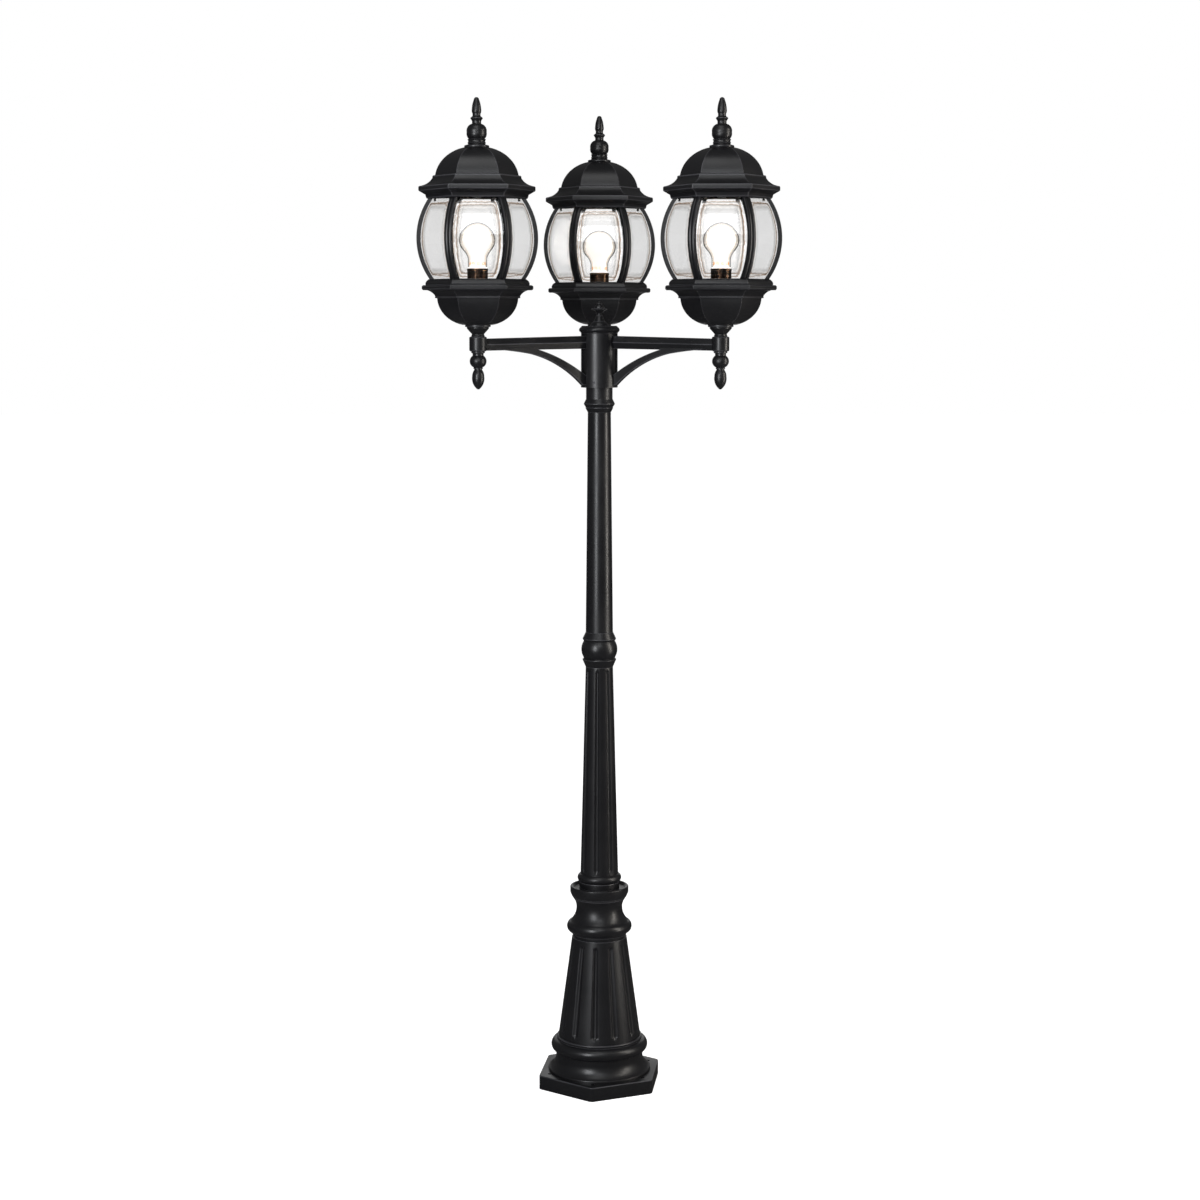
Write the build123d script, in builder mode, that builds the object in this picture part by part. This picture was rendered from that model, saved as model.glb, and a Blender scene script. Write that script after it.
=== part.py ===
from build123d import *
from math import acos, atan2, cos, radians, sin, sqrt, tan
import os

# Triple head lamp post in millimetres. +Z is up, the origin is on the post's axis in the plane that the
# base stands on, and the two front lanterns lie towards -Y.

# ---------------------------------------------------------------- turned rounds
ROUND_STEPS = 4             # straight runs that stand for a round stretch of a turned outline

# ---------------------------------------------------------------- base
PLATE_CORNER_RADIUS = 117.5
PLATE_HEIGHT = 26.0
PLATE_CHAMFER = 2.0
PLATE_TURN = -97.0          # heading of one plate corner, degrees from +X
PLATE_WALL = 5.0
BOLT_CIRCLE_RADIUS = 100.0
BOLT_HOLE_RADIUS = 3.5
BOLT_BOSS_RADIUS = 9.0
FOOT_RADIUS = 95.0          # where the foot's cove meets the plate
FOOT_LIP = 4.0
FOOT_COVE_RADIUS = 26.0
FOOT_NECK_RADIUS = 80.5
FOOT_NECK_HEIGHT = 9.0
FOOT_TORUS_RADIUS = 87.6
FOOT_TORUS_SECTION = 13.0
FOOT_BEAD_RADIUS = 78.5
FOOT_BEAD_HEIGHT = 5.0
FOOT_BEAD_ROUND = 1.7
SKIRT_FOOT_RADIUS = 75.0
SKIRT_TOP_RADIUS = 50.0
SKIRT_HEIGHT = 186.0
SKIRT_FLUTES = 12
SKIRT_FLUTE_WIDTH = 12.0
SKIRT_FLUTE_DEPTH = 2.5
SKIRT_FLUTE_MARGIN = 8.0    # plain band above and below the flutes
WAIST_NECK_HEIGHT = 10.5
WAIST_TORUS_RADIUS = 59.5
WAIST_TORUS_SECTION = 15.0
WAIST_COVE_RADIUS = 41.9
WAIST_COVE_HEIGHT = 38.0
FLANGE_FOOT_RADIUS = 50.0
FLANGE_RADIUS = 53.8
FLANGE_HEIGHT = 20.0
FLANGE_RIM_WIDTH = 4.0
FLANGE_DISH_DEPTH = 4.0
BASE_WALL = 5.0
BASE_WEB = 14.0

# ---------------------------------------------------------------- columns
COLUMN_FOOT_RADIUS = 37.0
COLUMN_FOOT_HEIGHT = 12.5
COLUMN_TORUS_RADIUS = 40.5
COLUMN_TORUS_SECTION = 9.0
LOWER_COLUMN_FOOT_RADIUS = 34.8
LOWER_COLUMN_TOP_RADIUS = 24.9
LOWER_COLUMN_HEIGHT = 413.5
COLUMN_FLUTES = 8
COLUMN_FLUTE_WIDTH = 9.0
COLUMN_FLUTE_DEPTH = 1.6
COLUMN_FLUTE_TURN = -99.0   # heading of one flute, degrees from +X
COLUMN_FLUTE_MARGIN = 3.0
UPPER_COLUMN_FOOT_RADIUS = 24.8
UPPER_COLUMN_TOP_RADIUS = 20.9
UPPER_COLUMN_HEIGHT = 400.0
COLUMN_WALL = 4.0
COLUMN_END_PLUG = 25.0
NIPPLE_RADIUS = 13.0
NIPPLE_WALL = 2.5
NIPPLE_INSET = 20.0         # how far a nipple screws into a column

# ---------------------------------------------------------------- knuckle
KNUCKLE_END_RADIUS = 25.2
KNUCKLE_CONE_HEIGHT = 12.5
KNUCKLE_RING_RADIUS = 30.8
KNUCKLE_LIP_HEIGHT = 3.5
KNUCKLE_GROOVE_RADIUS = 28.2
KNUCKLE_BALL_RADIUS = 32.9
KNUCKLE_BALL_HEIGHT = 32.0

# ---------------------------------------------------------------- neck
NECK_CONE_HEIGHT = 7.0
NECK_RING_RADIUS = 28.2
NECK_BEAD_RADIUS = 25.2
NECK_BEAD_HEIGHT = 2.8
NECK_RING_HEIGHT = 17.0
NECK_RADIUS = 24.0
NECK_HEIGHT = 20.8
SPIGOT_RADIUS = 15.9
SPIGOT_HEIGHT = 70.0
SPIGOT_CLEARANCE = 0.08     # radial running clearance of the head on its spigot

# ---------------------------------------------------------------- hub
HUB_RADIUS = 33.1
HUB_HEIGHT = 96.0
HUB_FLOOR = 4.5             # rim under the slots
HUB_SPIGOT_GAP = 3.0
SLOT_WIDTH = 17.0
SLOT_HEAD_WIDTH = 23.0
SLOT_HEAD_DEPTH = 4.5
SLOT_INNER_WALL = 3.5       # metal between the bore and the slots
SLOT_CLEARANCE = 0.15
SET_SCREW_RADIUS = 2.5
SET_SCREW_HEIGHT = 9.0      # above the hub's underside
SET_SCREW_RECESS = 1.0
SET_SCREW_SPREAD = 17.5     # degrees of each screw of a pair from the middle between two arms
STUD_RADIUS = 3.0
STUD_CLEARANCE = 0.3
CAP_RING_RADIUS = 36.7
CAP_FOOT_HEIGHT = 2.5
CAP_RING_HEIGHT = 12.0
CAP_RIM_HEIGHT = 4.8        # widest line of the ring above its foot
CAP_RING_TOP_RADIUS = 31.0
CAP_CONE_RADIUS = 17.4
CAP_CONE_DROP = 3.0
CAP_CONE_HEIGHT = 17.5
CAP_CONE_SAG = 1.0
CAP_STEP_RADIUS = 11.3
CAP_STEP_HEIGHT = 7.0
CAP_STEP_WIDTH = 1.0
CAP_TOP_RADIUS = 6.3
CAP_STUD_REACH = 8.0        # thread of the hub finial's stud in the hub
CUP_STEM_RADIUS = 5.0
CUP_RADIUS = 14.2
CUP_HEIGHT = 13.0
CUP_STEM_HEIGHT = 4.0
CUP_LIP_HEIGHT = 1.5
CUP_DOME_RADIUS = 8.6
CUP_TIP_RADIUS = 4.3
CUP_SHOULDER_RADIUS = 6.9
CUP_TIP_HEIGHT = 6.9

# ---------------------------------------------------------------- arms
ARM_HEADINGS = {"left": 210, "right": 330, "rear": 90}
ARM_REACH = 244.5
ARM_DROP = 17.0             # beam axis below the hub's top
ROOT_RECESS = 4.0           # root face behind the hub's surface
ROOT_OVERLAP = 1.0          # beam and brace run into the root
BEAM_ROOT_HEIGHT = 23.4
BEAM_TIP_HEIGHT = 21.0
BEAM_WIDTH = 15.0
BEAM_FLAT = 8.0             # width of the beam's flat top and underside
BARREL_RADIUS = 15.3
BARREL_HEIGHT = 25.4
BARREL_CHAMFER = 2.0
BRACE_WIDTH = 10.0
BRACE_CHAMFER = 1.5
BRACE_TOP_REACH = 127.0     # where the brace's upper edge leaves the beam
BRACE_TOE_REACH = 208.0     # where its lower edge runs out under the beam
BRACE_FOOT_HEIGHT = 16.0
BRACE_FOOT_STEP = 3.4       # foot beyond the hub's surface
BRACE_KNEE_REACH = 140.8
BRACE_KNEE_DROP = 6.5
BRACE_SAG = 8.5             # bow of the brace's lower edge above its chord
BRACE_TOE_SAG = 1.0
BRACE_TOP_SAG = 5.0

# ---------------------------------------------------------------- lantern: stem, heights above the arm axis
STEM_RADIUS = 5.0
STEM_BORE_RADIUS = 3.4
STEM_CLEARANCE = 0.15
COLLAR_HEIGHT = 20.3
COLLAR_FOOT_RADIUS = 12.0
COLLAR_NECK_RADIUS = 10.6
COLLAR_NECK_LEVEL = 4.1
COLLAR_RING_RADIUS = 19.2
COLLAR_RING_LEVEL = 12.6
COLLAR_RING_HEIGHT = 3.2
COLLAR_FLANGE_RADIUS = 22.4
COLLAR_FLANGE_HEIGHT = 3.5
PENDANT_TOP_RADIUS = 12.0
PENDANT_TOP_HEIGHT = 3.0
PENDANT_NECK_RADIUS = 9.6
PENDANT_NECK_HEIGHT = 3.5
PENDANT_BALL_RADIUS = 14.7
PENDANT_BALL_HEIGHT = 19.0
PENDANT_WAIST_RADIUS = 7.1
PENDANT_DROP_RADIUS = 10.6
PENDANT_DROP_HEIGHT = 34.0
PENDANT_WIDEST_LEVEL = 9.5  # below the drop's top
PENDANT_TAPER_RADIUS = 7.6  # halfway from there to the tip
PENDANT_THREAD = 18.0

# ---------------------------------------------------------------- lantern: pan, apothems are face distances
PAN_HEIGHT = 68.6
PAN_WALL = 3.0
PAN_FLOOR_APOTHEM = 23.0
PAN_STEP_APOTHEM = 61.2
PAN_STEP_HEIGHT = 46.0
PAN_BEAD_APOTHEM = 64.4
PAN_BEAD_HEIGHT = 3.0
PAN_LIP_APOTHEM = 84.1
PAN_LIP_HEIGHT = 6.5
PAN_LIP_CHAMFER = 1.5
PAN_COVE_APOTHEM = 75.6
PAN_BOWL_SAG = 10.0
PAN_COVE_SAG = 1.7
COVER_THICKNESS = 2.0
COVER_LEDGE = 5.0

# ---------------------------------------------------------------- lantern: cage and glass
CAGE_RING_APOTHEM = 78.6
CAGE_RING_TOP_APOTHEM = 76.9
CAGE_RING_HEIGHT = 7.5
CAGE_SILL_HEIGHT = 3.0
CAGE_FOOT_APOTHEM = 73.4
CAGE_MID_APOTHEM = 91.8
CAGE_TOP_APOTHEM = 74.6
CAGE_GLAZED_HEIGHT = 137.3
CAGE_WALL = 4.0
CAGE_HEAD_APOTHEM = 72.7
CAGE_HEAD_HEIGHT = 6.6      # head ring above the ribs, hidden by the roof's skirt
CAGE_RIB_WIDTH = 7.0        # each rib's width on either face of its corner
CAGE_SHELF_WIDTH = 7.0      # inward shelf of the head ring, which carries the roof bar
CAGE_SHELF_THICKNESS = 2.6
WINDOW_RISE = 1.0           # windows above the ribs' tops, behind the roof's skirt
CAGE_COLLAR_APOTHEM = 68.5
CAGE_COLLAR_HEIGHT = 5.0
CAGE_COLLAR_WALL = 2.5
GLASS_THICKNESS = 3.0
GLASS_GAP = 0.2
GLASS_EDGE_GAP = 1.0        # from each pane's edge to the corner plane
GLASS_LAP = 2.5             # glass behind the rings
CLIP_WIDTH = 6.0
CLIP_HEIGHT = 9.0
CLIP_THICKNESS = 1.2

# ---------------------------------------------------------------- lantern: lampholder and bulb
HOLDER_RADIUS = 18.0
HOLDER_HEIGHT = 41.0
HOLDER_TOP = 131.2          # holder rim above the arm axis
HOLDER_FLOOR = 4.0
HOLDER_MOUTH_RADIUS = 17.0
HOLDER_MOUTH_DEPTH = 6.0
CAP_SHELL_RADIUS = 13.2
CAP_TIP_RADIUS = 5.0
CAP_TIP_HEIGHT = 4.0
CAP_CLEARANCE = 0.3
GLOBE_RADIUS = 30.0
GLOBE_HEIGHT = 84.0         # glass above the cap
GLOBE_NECK_RADIUS = 16.6
GLOBE_NECK_HEIGHT = 22.0
GLOBE_FOOT_HEIGHT = 5.0
GLOBE_SHOULDER_TURN = 40.0  # degrees below the globe's equator where the neck's curve starts
GLOBE_NECK_SAG = 0.8

# ---------------------------------------------------------------- lantern: roof
ROOF_SEAT_APOTHEM = 75.0
ROOF_CLEARANCE = 0.5
ROOF_SKIRT_APOTHEM = 77.6
ROOF_SKIRT_HEIGHT = 7.6
ROOF_BRIM_APOTHEM = 87.2
ROOF_BRIM_HEIGHT = 7.0
ROOF_UNDERCUT_HEIGHT = 7.0
ROOF_OGEE_HEIGHT = 14.5
ROOF_SHOULDER_APOTHEM = 66.9
ROOF_SHOULDER_HEIGHT = 4.5
ROOF_DOME_APOTHEM = 62.4
ROOF_DOME_HEIGHT = 47.5
ROOF_TOP_APOTHEM = 19.0
ROOF_DOME_SAG = 10.0
ROOF_OGEE_SAG = 3.0
ROOF_LIP_CHAMFER = 1.5
ROOF_WALL = 3.0
ROOF_BRIM_WALL = 9.0
ROOF_BAR_WIDTH = 14.0
ROOF_BAR_THICKNESS = 3.0
ROOF_BAR_BOSS_RADIUS = 7.0
ROOF_BAR_BOSS_HEIGHT = 9.0
FINIAL_BASE_RADIUS = 21.6
FINIAL_BASE_HEIGHT = 4.0
FINIAL_WAIST_RADIUS = 14.6
FINIAL_WAIST_HEIGHT = 9.0
FINIAL_BEAD_RADIUS = 15.6
FINIAL_BEAD_LEVEL = 3.0
FINIAL_BALL_RADIUS = 17.3
FINIAL_BALL_HEIGHT = 25.0
FINIAL_NECK_RADIUS = 7.9
FINIAL_NECK_HEIGHT = 7.0
FINIAL_RING_RADIUS = 10.8
FINIAL_RING_HEIGHT = 8.0
FINIAL_STALK_RADIUS = 7.0
FINIAL_STALK_HEIGHT = 4.5
FINIAL_BUD_RADIUS = 8.1
FINIAL_BUD_HEIGHT = 28.0
FINIAL_BUD_WIDEST = 11.2    # above the stalk
FINIAL_THREAD = 7.0         # stud below the roof bar's top face

# ---------------------------------------------------------------- derived levels
COS30 = cos(radians(30))
TAN30 = tan(radians(30))


def torus_reach(section, inset):
    # Height above a half round's centre at which its profile is inset from its crown.
    return sqrt(section**2 - (section - inset) ** 2)


FOOT_LIP_Z = PLATE_HEIGHT + FOOT_LIP
FOOT_COVE_TOP_Z = FOOT_LIP_Z + sqrt(
    FOOT_COVE_RADIUS**2 - (FOOT_NECK_RADIUS + FOOT_COVE_RADIUS - FOOT_RADIUS) ** 2
)
FOOT_NECK_Z = FOOT_COVE_TOP_Z + FOOT_NECK_HEIGHT
FOOT_TORUS_Z = FOOT_NECK_Z + torus_reach(FOOT_TORUS_SECTION, FOOT_TORUS_RADIUS - FOOT_NECK_RADIUS)
FOOT_BEAD_Z = FOOT_TORUS_Z + torus_reach(FOOT_TORUS_SECTION, FOOT_TORUS_RADIUS - FOOT_BEAD_RADIUS)
SKIRT_Z = FOOT_BEAD_Z + FOOT_BEAD_HEIGHT
SKIRT_TOP_Z = SKIRT_Z + SKIRT_HEIGHT
WAIST_NECK_Z = SKIRT_TOP_Z + WAIST_NECK_HEIGHT
WAIST_TORUS_Z = WAIST_NECK_Z + torus_reach(WAIST_TORUS_SECTION, WAIST_TORUS_RADIUS - SKIRT_TOP_RADIUS)
WAIST_COVE_Z = WAIST_TORUS_Z + WAIST_TORUS_SECTION
FLANGE_Z = WAIST_COVE_Z + WAIST_COVE_HEIGHT
FLANGE_TOP_Z = FLANGE_Z + FLANGE_HEIGHT
COLUMN_Z = FLANGE_TOP_Z - FLANGE_DISH_DEPTH
COLUMN_TORUS_Z = COLUMN_Z + COLUMN_FOOT_HEIGHT + torus_reach(
    COLUMN_TORUS_SECTION, COLUMN_TORUS_RADIUS - COLUMN_FOOT_RADIUS
)
COLUMN_SHAFT_Z = COLUMN_TORUS_Z + torus_reach(
    COLUMN_TORUS_SECTION, COLUMN_TORUS_RADIUS - LOWER_COLUMN_FOOT_RADIUS
)
KNUCKLE_Z = COLUMN_Z + LOWER_COLUMN_HEIGHT
KNUCKLE_HEIGHT = 2 * (KNUCKLE_CONE_HEIGHT + KNUCKLE_LIP_HEIGHT) + KNUCKLE_BALL_HEIGHT
UPPER_COLUMN_Z = KNUCKLE_Z + KNUCKLE_HEIGHT
NECK_Z = UPPER_COLUMN_Z + UPPER_COLUMN_HEIGHT
HUB_Z = NECK_Z + NECK_CONE_HEIGHT + NECK_RING_HEIGHT + NECK_HEIGHT
HUB_TOP_Z = HUB_Z + HUB_HEIGHT
CAP_TOP_Z = HUB_TOP_Z + CAP_FOOT_HEIGHT + CAP_RING_HEIGHT + CAP_CONE_HEIGHT
ARM_Z = HUB_TOP_Z - ARM_DROP

# Lantern levels above the arm axis.
BARREL_TOP = BARREL_HEIGHT / 2
PAN_FLOOR = BARREL_TOP + COLLAR_HEIGHT
CAGE_FLOOR = PAN_FLOOR + PAN_HEIGHT
CAGE_SILL = CAGE_FLOOR + CAGE_RING_HEIGHT + CAGE_SILL_HEIGHT
RIB_TOP = CAGE_SILL + CAGE_GLAZED_HEIGHT
CAGE_MID = (CAGE_SILL + RIB_TOP) / 2
ROOF_SEAT = RIB_TOP + CAGE_HEAD_HEIGHT
ROOF_UNDERCUT = RIB_TOP + ROOF_SKIRT_HEIGHT
ROOF_BRIM = ROOF_UNDERCUT + ROOF_UNDERCUT_HEIGHT
ROOF_BRIM_TOP = ROOF_BRIM + ROOF_BRIM_HEIGHT
ROOF_SHOULDER = ROOF_BRIM_TOP + ROOF_OGEE_HEIGHT
ROOF_DOME = ROOF_SHOULDER + ROOF_SHOULDER_HEIGHT
ROOF_TOP = ROOF_DOME + ROOF_DOME_HEIGHT


# ---------------------------------------------------------------- helpers
def facing_plane(heading):
    # Upright plane through the axis: its X runs out along the heading and its Y runs up.
    turn = radians(heading)
    return Plane(origin=(0, 0, 0), x_dir=(cos(turn), sin(turn), 0), z_dir=(sin(turn), -cos(turn), 0))


def hexagonal(outline, reach):
    # Hexagonal solid with one upright half outline on all six faces: three crossed prisms intersected.
    with BuildPart() as body:
        for index, heading in enumerate((0, 60, 120)):
            with BuildSketch(facing_plane(heading)):
                with BuildLine():
                    outline()
                make_face()
                mirror(about=Plane.YZ)
            extrude(amount=reach, both=True, mode=Mode.INTERSECT if index else Mode.ADD)
    return body.part


def arc_sag(start, end, sag):
    # Middle point of an arc that bows by sag to the left of the chord from start to end.
    chord = Vector(end[0] - start[0], end[1] - start[1])
    middle = Vector((start[0] + end[0]) / 2, (start[1] + end[1]) / 2)
    side = Vector(-chord.Y, chord.X).normalized()
    return middle + side * sag


def rounded(start, crown, end, steps=ROUND_STEPS):
    # Round stretch of a turned outline through three points, as straight runs of equal turn.
    arc = ThreePointArc(start, crown, end, mode=Mode.PRIVATE)
    Polyline(*(arc @ (step / steps) for step in range(steps + 1)))


def flute_cutter(low, high, width, depth, ends):
    # Rod with pointed ends that cuts one flute along a tapered shaft, from low to high as (radius, z).
    rod_radius = (width**2 / 4 + depth**2) / (2 * depth)
    slope = atan2(low[0] - high[0], high[1] - low[1])
    length = sqrt((low[0] - high[0]) ** 2 + (high[1] - low[1]) ** 2)
    middle = Vector((low[0] + high[0]) / 2, 0, (low[1] + high[1]) / 2)
    outward = Vector(cos(slope), 0, sin(slope))
    along = Vector(-sin(slope), 0, cos(slope))
    axis_point = middle + outward * (rod_radius - depth)
    with BuildPart() as rod:
        with BuildSketch(Plane(origin=axis_point, x_dir=outward, z_dir=outward.cross(along))):
            with BuildLine():
                Polyline(
                    (0, -length / 2 + ends - rod_radius),
                    (rod_radius, -length / 2 + ends),
                    (rod_radius, length / 2 - ends),
                    (0, length / 2 - ends + rod_radius),
                    close=True,
                )
            make_face()
        revolve(axis=Axis(axis_point, along))
    return rod.part


def radial_plane(heading, height):
    # Upright plane on the axis that faces out along the heading.
    turn = radians(heading)
    return Plane(origin=(0, 0, height), x_dir=(-sin(turn), cos(turn), 0), z_dir=(cos(turn), sin(turn), 0))


# ---------------------------------------------------------------- base
with BuildPart() as plate_cavity:
    with BuildSketch():
        RegularPolygon(PLATE_CORNER_RADIUS - PLATE_WALL / COS30, 6, rotation=PLATE_TURN)
    extrude(amount=PLATE_HEIGHT - PLATE_WALL)
    with BuildSketch():
        with PolarLocations(BOLT_CIRCLE_RADIUS, 6, start_angle=PLATE_TURN):
            Circle(BOLT_BOSS_RADIUS)
    extrude(amount=PLATE_HEIGHT - PLATE_WALL, mode=Mode.SUBTRACT)

skirt_slope = (SKIRT_FOOT_RADIUS - SKIRT_TOP_RADIUS) / SKIRT_HEIGHT
skirt_flute = flute_cutter(
    (SKIRT_FOOT_RADIUS - skirt_slope * SKIRT_FLUTE_MARGIN, SKIRT_Z + SKIRT_FLUTE_MARGIN),
    (SKIRT_TOP_RADIUS + skirt_slope * SKIRT_FLUTE_MARGIN, SKIRT_TOP_Z - SKIRT_FLUTE_MARGIN),
    SKIRT_FLUTE_WIDTH,
    SKIRT_FLUTE_DEPTH,
    SKIRT_FLUTE_DEPTH,
)

with BuildPart() as base_casting:
    with BuildSketch():
        RegularPolygon(PLATE_CORNER_RADIUS, 6, rotation=PLATE_TURN)
    extrude(amount=PLATE_HEIGHT)
    chamfer(base_casting.edges().group_by(Axis.Z)[-1], PLATE_CHAMFER)
    with BuildSketch(Plane.XZ):
        with BuildLine():
            cove_centre_radius = FOOT_NECK_RADIUS + FOOT_COVE_RADIUS
            cove_turn = acos((cove_centre_radius - FOOT_RADIUS) / FOOT_COVE_RADIUS) / 2
            Polyline((0, PLATE_WALL), (FOOT_RADIUS, PLATE_WALL), (FOOT_RADIUS, FOOT_LIP_Z))
            rounded(
                (FOOT_RADIUS, FOOT_LIP_Z),
                (
                    cove_centre_radius - FOOT_COVE_RADIUS * cos(cove_turn),
                    FOOT_COVE_TOP_Z - FOOT_COVE_RADIUS * sin(cove_turn),
                ),
                (FOOT_NECK_RADIUS, FOOT_COVE_TOP_Z),
            )
            Line((FOOT_NECK_RADIUS, FOOT_COVE_TOP_Z), (FOOT_NECK_RADIUS, FOOT_NECK_Z))
            rounded(
                (FOOT_NECK_RADIUS, FOOT_NECK_Z),
                (FOOT_TORUS_RADIUS, FOOT_TORUS_Z),
                (FOOT_BEAD_RADIUS, FOOT_BEAD_Z),
            )
            Polyline(
                (FOOT_BEAD_RADIUS, FOOT_BEAD_Z),
                (FOOT_BEAD_RADIUS, SKIRT_Z - FOOT_BEAD_ROUND),
                (SKIRT_FOOT_RADIUS, SKIRT_Z),
                (SKIRT_TOP_RADIUS, SKIRT_TOP_Z),
                (SKIRT_TOP_RADIUS, WAIST_NECK_Z),
            )
            waist_top_radius = WAIST_TORUS_RADIUS - WAIST_TORUS_SECTION
            rounded(
                (SKIRT_TOP_RADIUS, WAIST_NECK_Z),
                (WAIST_TORUS_RADIUS, WAIST_TORUS_Z),
                (waist_top_radius, WAIST_COVE_Z),
            )
            rounded(
                (waist_top_radius, WAIST_COVE_Z),
                (WAIST_COVE_RADIUS, WAIST_COVE_Z + WAIST_COVE_HEIGHT / 2),
                (FLANGE_FOOT_RADIUS, FLANGE_Z),
            )
            Polyline(
                (FLANGE_FOOT_RADIUS, FLANGE_Z),
                (FLANGE_RADIUS, FLANGE_Z + FLANGE_HEIGHT / 2),
                (FLANGE_RADIUS, FLANGE_TOP_Z - FLANGE_RIM_WIDTH / 2),
                (FLANGE_RADIUS - FLANGE_RIM_WIDTH / 2, FLANGE_TOP_Z),
                (FLANGE_RADIUS - FLANGE_RIM_WIDTH, FLANGE_TOP_Z),
                (FLANGE_RADIUS - FLANGE_RIM_WIDTH - FLANGE_DISH_DEPTH, COLUMN_Z),
                (0, COLUMN_Z),
                (0, PLATE_WALL),
            )
        make_face()
    revolve(axis=Axis.Z)
    add(plate_cavity.part, mode=Mode.SUBTRACT)
    with BuildSketch(Plane.XZ):
        Polygon(
            (0, PLATE_WALL),
            (SKIRT_FOOT_RADIUS - BASE_WALL - SKIRT_FLUTE_DEPTH, PLATE_WALL),
            (SKIRT_FOOT_RADIUS - BASE_WALL - SKIRT_FLUTE_DEPTH, SKIRT_Z),
            (SKIRT_TOP_RADIUS - BASE_WALL - SKIRT_FLUTE_DEPTH, SKIRT_TOP_Z),
            (WAIST_COVE_RADIUS - BASE_WALL, SKIRT_TOP_Z),
            (WAIST_COVE_RADIUS - BASE_WALL, COLUMN_Z - BASE_WEB),
            (0, COLUMN_Z - BASE_WEB),
            align=None,
        )
    revolve(axis=Axis.Z, mode=Mode.SUBTRACT)
    with Locations((0, 0, COLUMN_Z - BASE_WEB / 2)):
        Cylinder(NIPPLE_RADIUS, BASE_WEB, mode=Mode.SUBTRACT)
    with PolarLocations(BOLT_CIRCLE_RADIUS, 6, start_angle=PLATE_TURN):
        Cylinder(BOLT_HOLE_RADIUS, 2 * PLATE_HEIGHT, mode=Mode.SUBTRACT)
    with PolarLocations(0, SKIRT_FLUTES, start_angle=PLATE_TURN):
        add(skirt_flute, mode=Mode.SUBTRACT)

# ---------------------------------------------------------------- columns and their nipples
column_slope = (LOWER_COLUMN_FOOT_RADIUS - LOWER_COLUMN_TOP_RADIUS) / (KNUCKLE_Z - COLUMN_SHAFT_Z)
column_flute = flute_cutter(
    (
        LOWER_COLUMN_FOOT_RADIUS - column_slope * COLUMN_FLUTE_MARGIN,
        COLUMN_SHAFT_Z + COLUMN_FLUTE_MARGIN,
    ),
    (LOWER_COLUMN_TOP_RADIUS + column_slope * COLUMN_FLUTE_MARGIN, KNUCKLE_Z - COLUMN_FLUTE_MARGIN),
    COLUMN_FLUTE_WIDTH,
    COLUMN_FLUTE_DEPTH,
    COLUMN_FLUTE_DEPTH,
)

with BuildPart() as lower_column:
    with BuildSketch(Plane.XZ):
        with BuildLine():
            Polyline(
                (0, COLUMN_Z),
                (COLUMN_FOOT_RADIUS, COLUMN_Z),
                (COLUMN_FOOT_RADIUS, COLUMN_Z + COLUMN_FOOT_HEIGHT),
            )
            rounded(
                (COLUMN_FOOT_RADIUS, COLUMN_Z + COLUMN_FOOT_HEIGHT),
                (COLUMN_TORUS_RADIUS, COLUMN_TORUS_Z),
                (LOWER_COLUMN_FOOT_RADIUS, COLUMN_SHAFT_Z),
            )
            Polyline(
                (LOWER_COLUMN_FOOT_RADIUS, COLUMN_SHAFT_Z),
                (LOWER_COLUMN_TOP_RADIUS, KNUCKLE_Z),
                (0, KNUCKLE_Z),
                (0, COLUMN_Z),
            )
        make_face()
    revolve(axis=Axis.Z)
    with PolarLocations(0, COLUMN_FLUTES, start_angle=COLUMN_FLUTE_TURN):
        add(column_flute, mode=Mode.SUBTRACT)
    with Locations((0, 0, (COLUMN_Z + KNUCKLE_Z) / 2)):
        Cylinder(
            LOWER_COLUMN_TOP_RADIUS - COLUMN_FLUTE_DEPTH - COLUMN_WALL,
            LOWER_COLUMN_HEIGHT - 2 * COLUMN_END_PLUG,
            mode=Mode.SUBTRACT,
        )
        Cylinder(NIPPLE_RADIUS, LOWER_COLUMN_HEIGHT, mode=Mode.SUBTRACT)

with BuildPart() as upper_column:
    with BuildSketch(Plane.XZ):
        Polygon(
            (0, UPPER_COLUMN_Z),
            (UPPER_COLUMN_FOOT_RADIUS, UPPER_COLUMN_Z),
            (UPPER_COLUMN_TOP_RADIUS, NECK_Z),
            (0, NECK_Z),
            align=None,
        )
    revolve(axis=Axis.Z)
    with Locations((0, 0, (UPPER_COLUMN_Z + NECK_Z) / 2)):
        Cylinder(
            UPPER_COLUMN_TOP_RADIUS - COLUMN_WALL,
            UPPER_COLUMN_HEIGHT - 2 * COLUMN_END_PLUG,
            mode=Mode.SUBTRACT,
        )
        Cylinder(NIPPLE_RADIUS, UPPER_COLUMN_HEIGHT, mode=Mode.SUBTRACT)


NIPPLE_LEVELS = [
    (COLUMN_Z - BASE_WEB, COLUMN_Z + NIPPLE_INSET),
    (KNUCKLE_Z - NIPPLE_INSET, UPPER_COLUMN_Z + NIPPLE_INSET),
    (NECK_Z - NIPPLE_INSET, NECK_Z + NECK_CONE_HEIGHT + NECK_RING_HEIGHT),
]
with BuildPart() as column_nipples:
    for low, high in NIPPLE_LEVELS:
        with BuildSketch(Plane.XY.offset(low)):
            Circle(NIPPLE_RADIUS)
            Circle(NIPPLE_RADIUS - NIPPLE_WALL, mode=Mode.SUBTRACT)
        extrude(amount=high - low)

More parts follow.
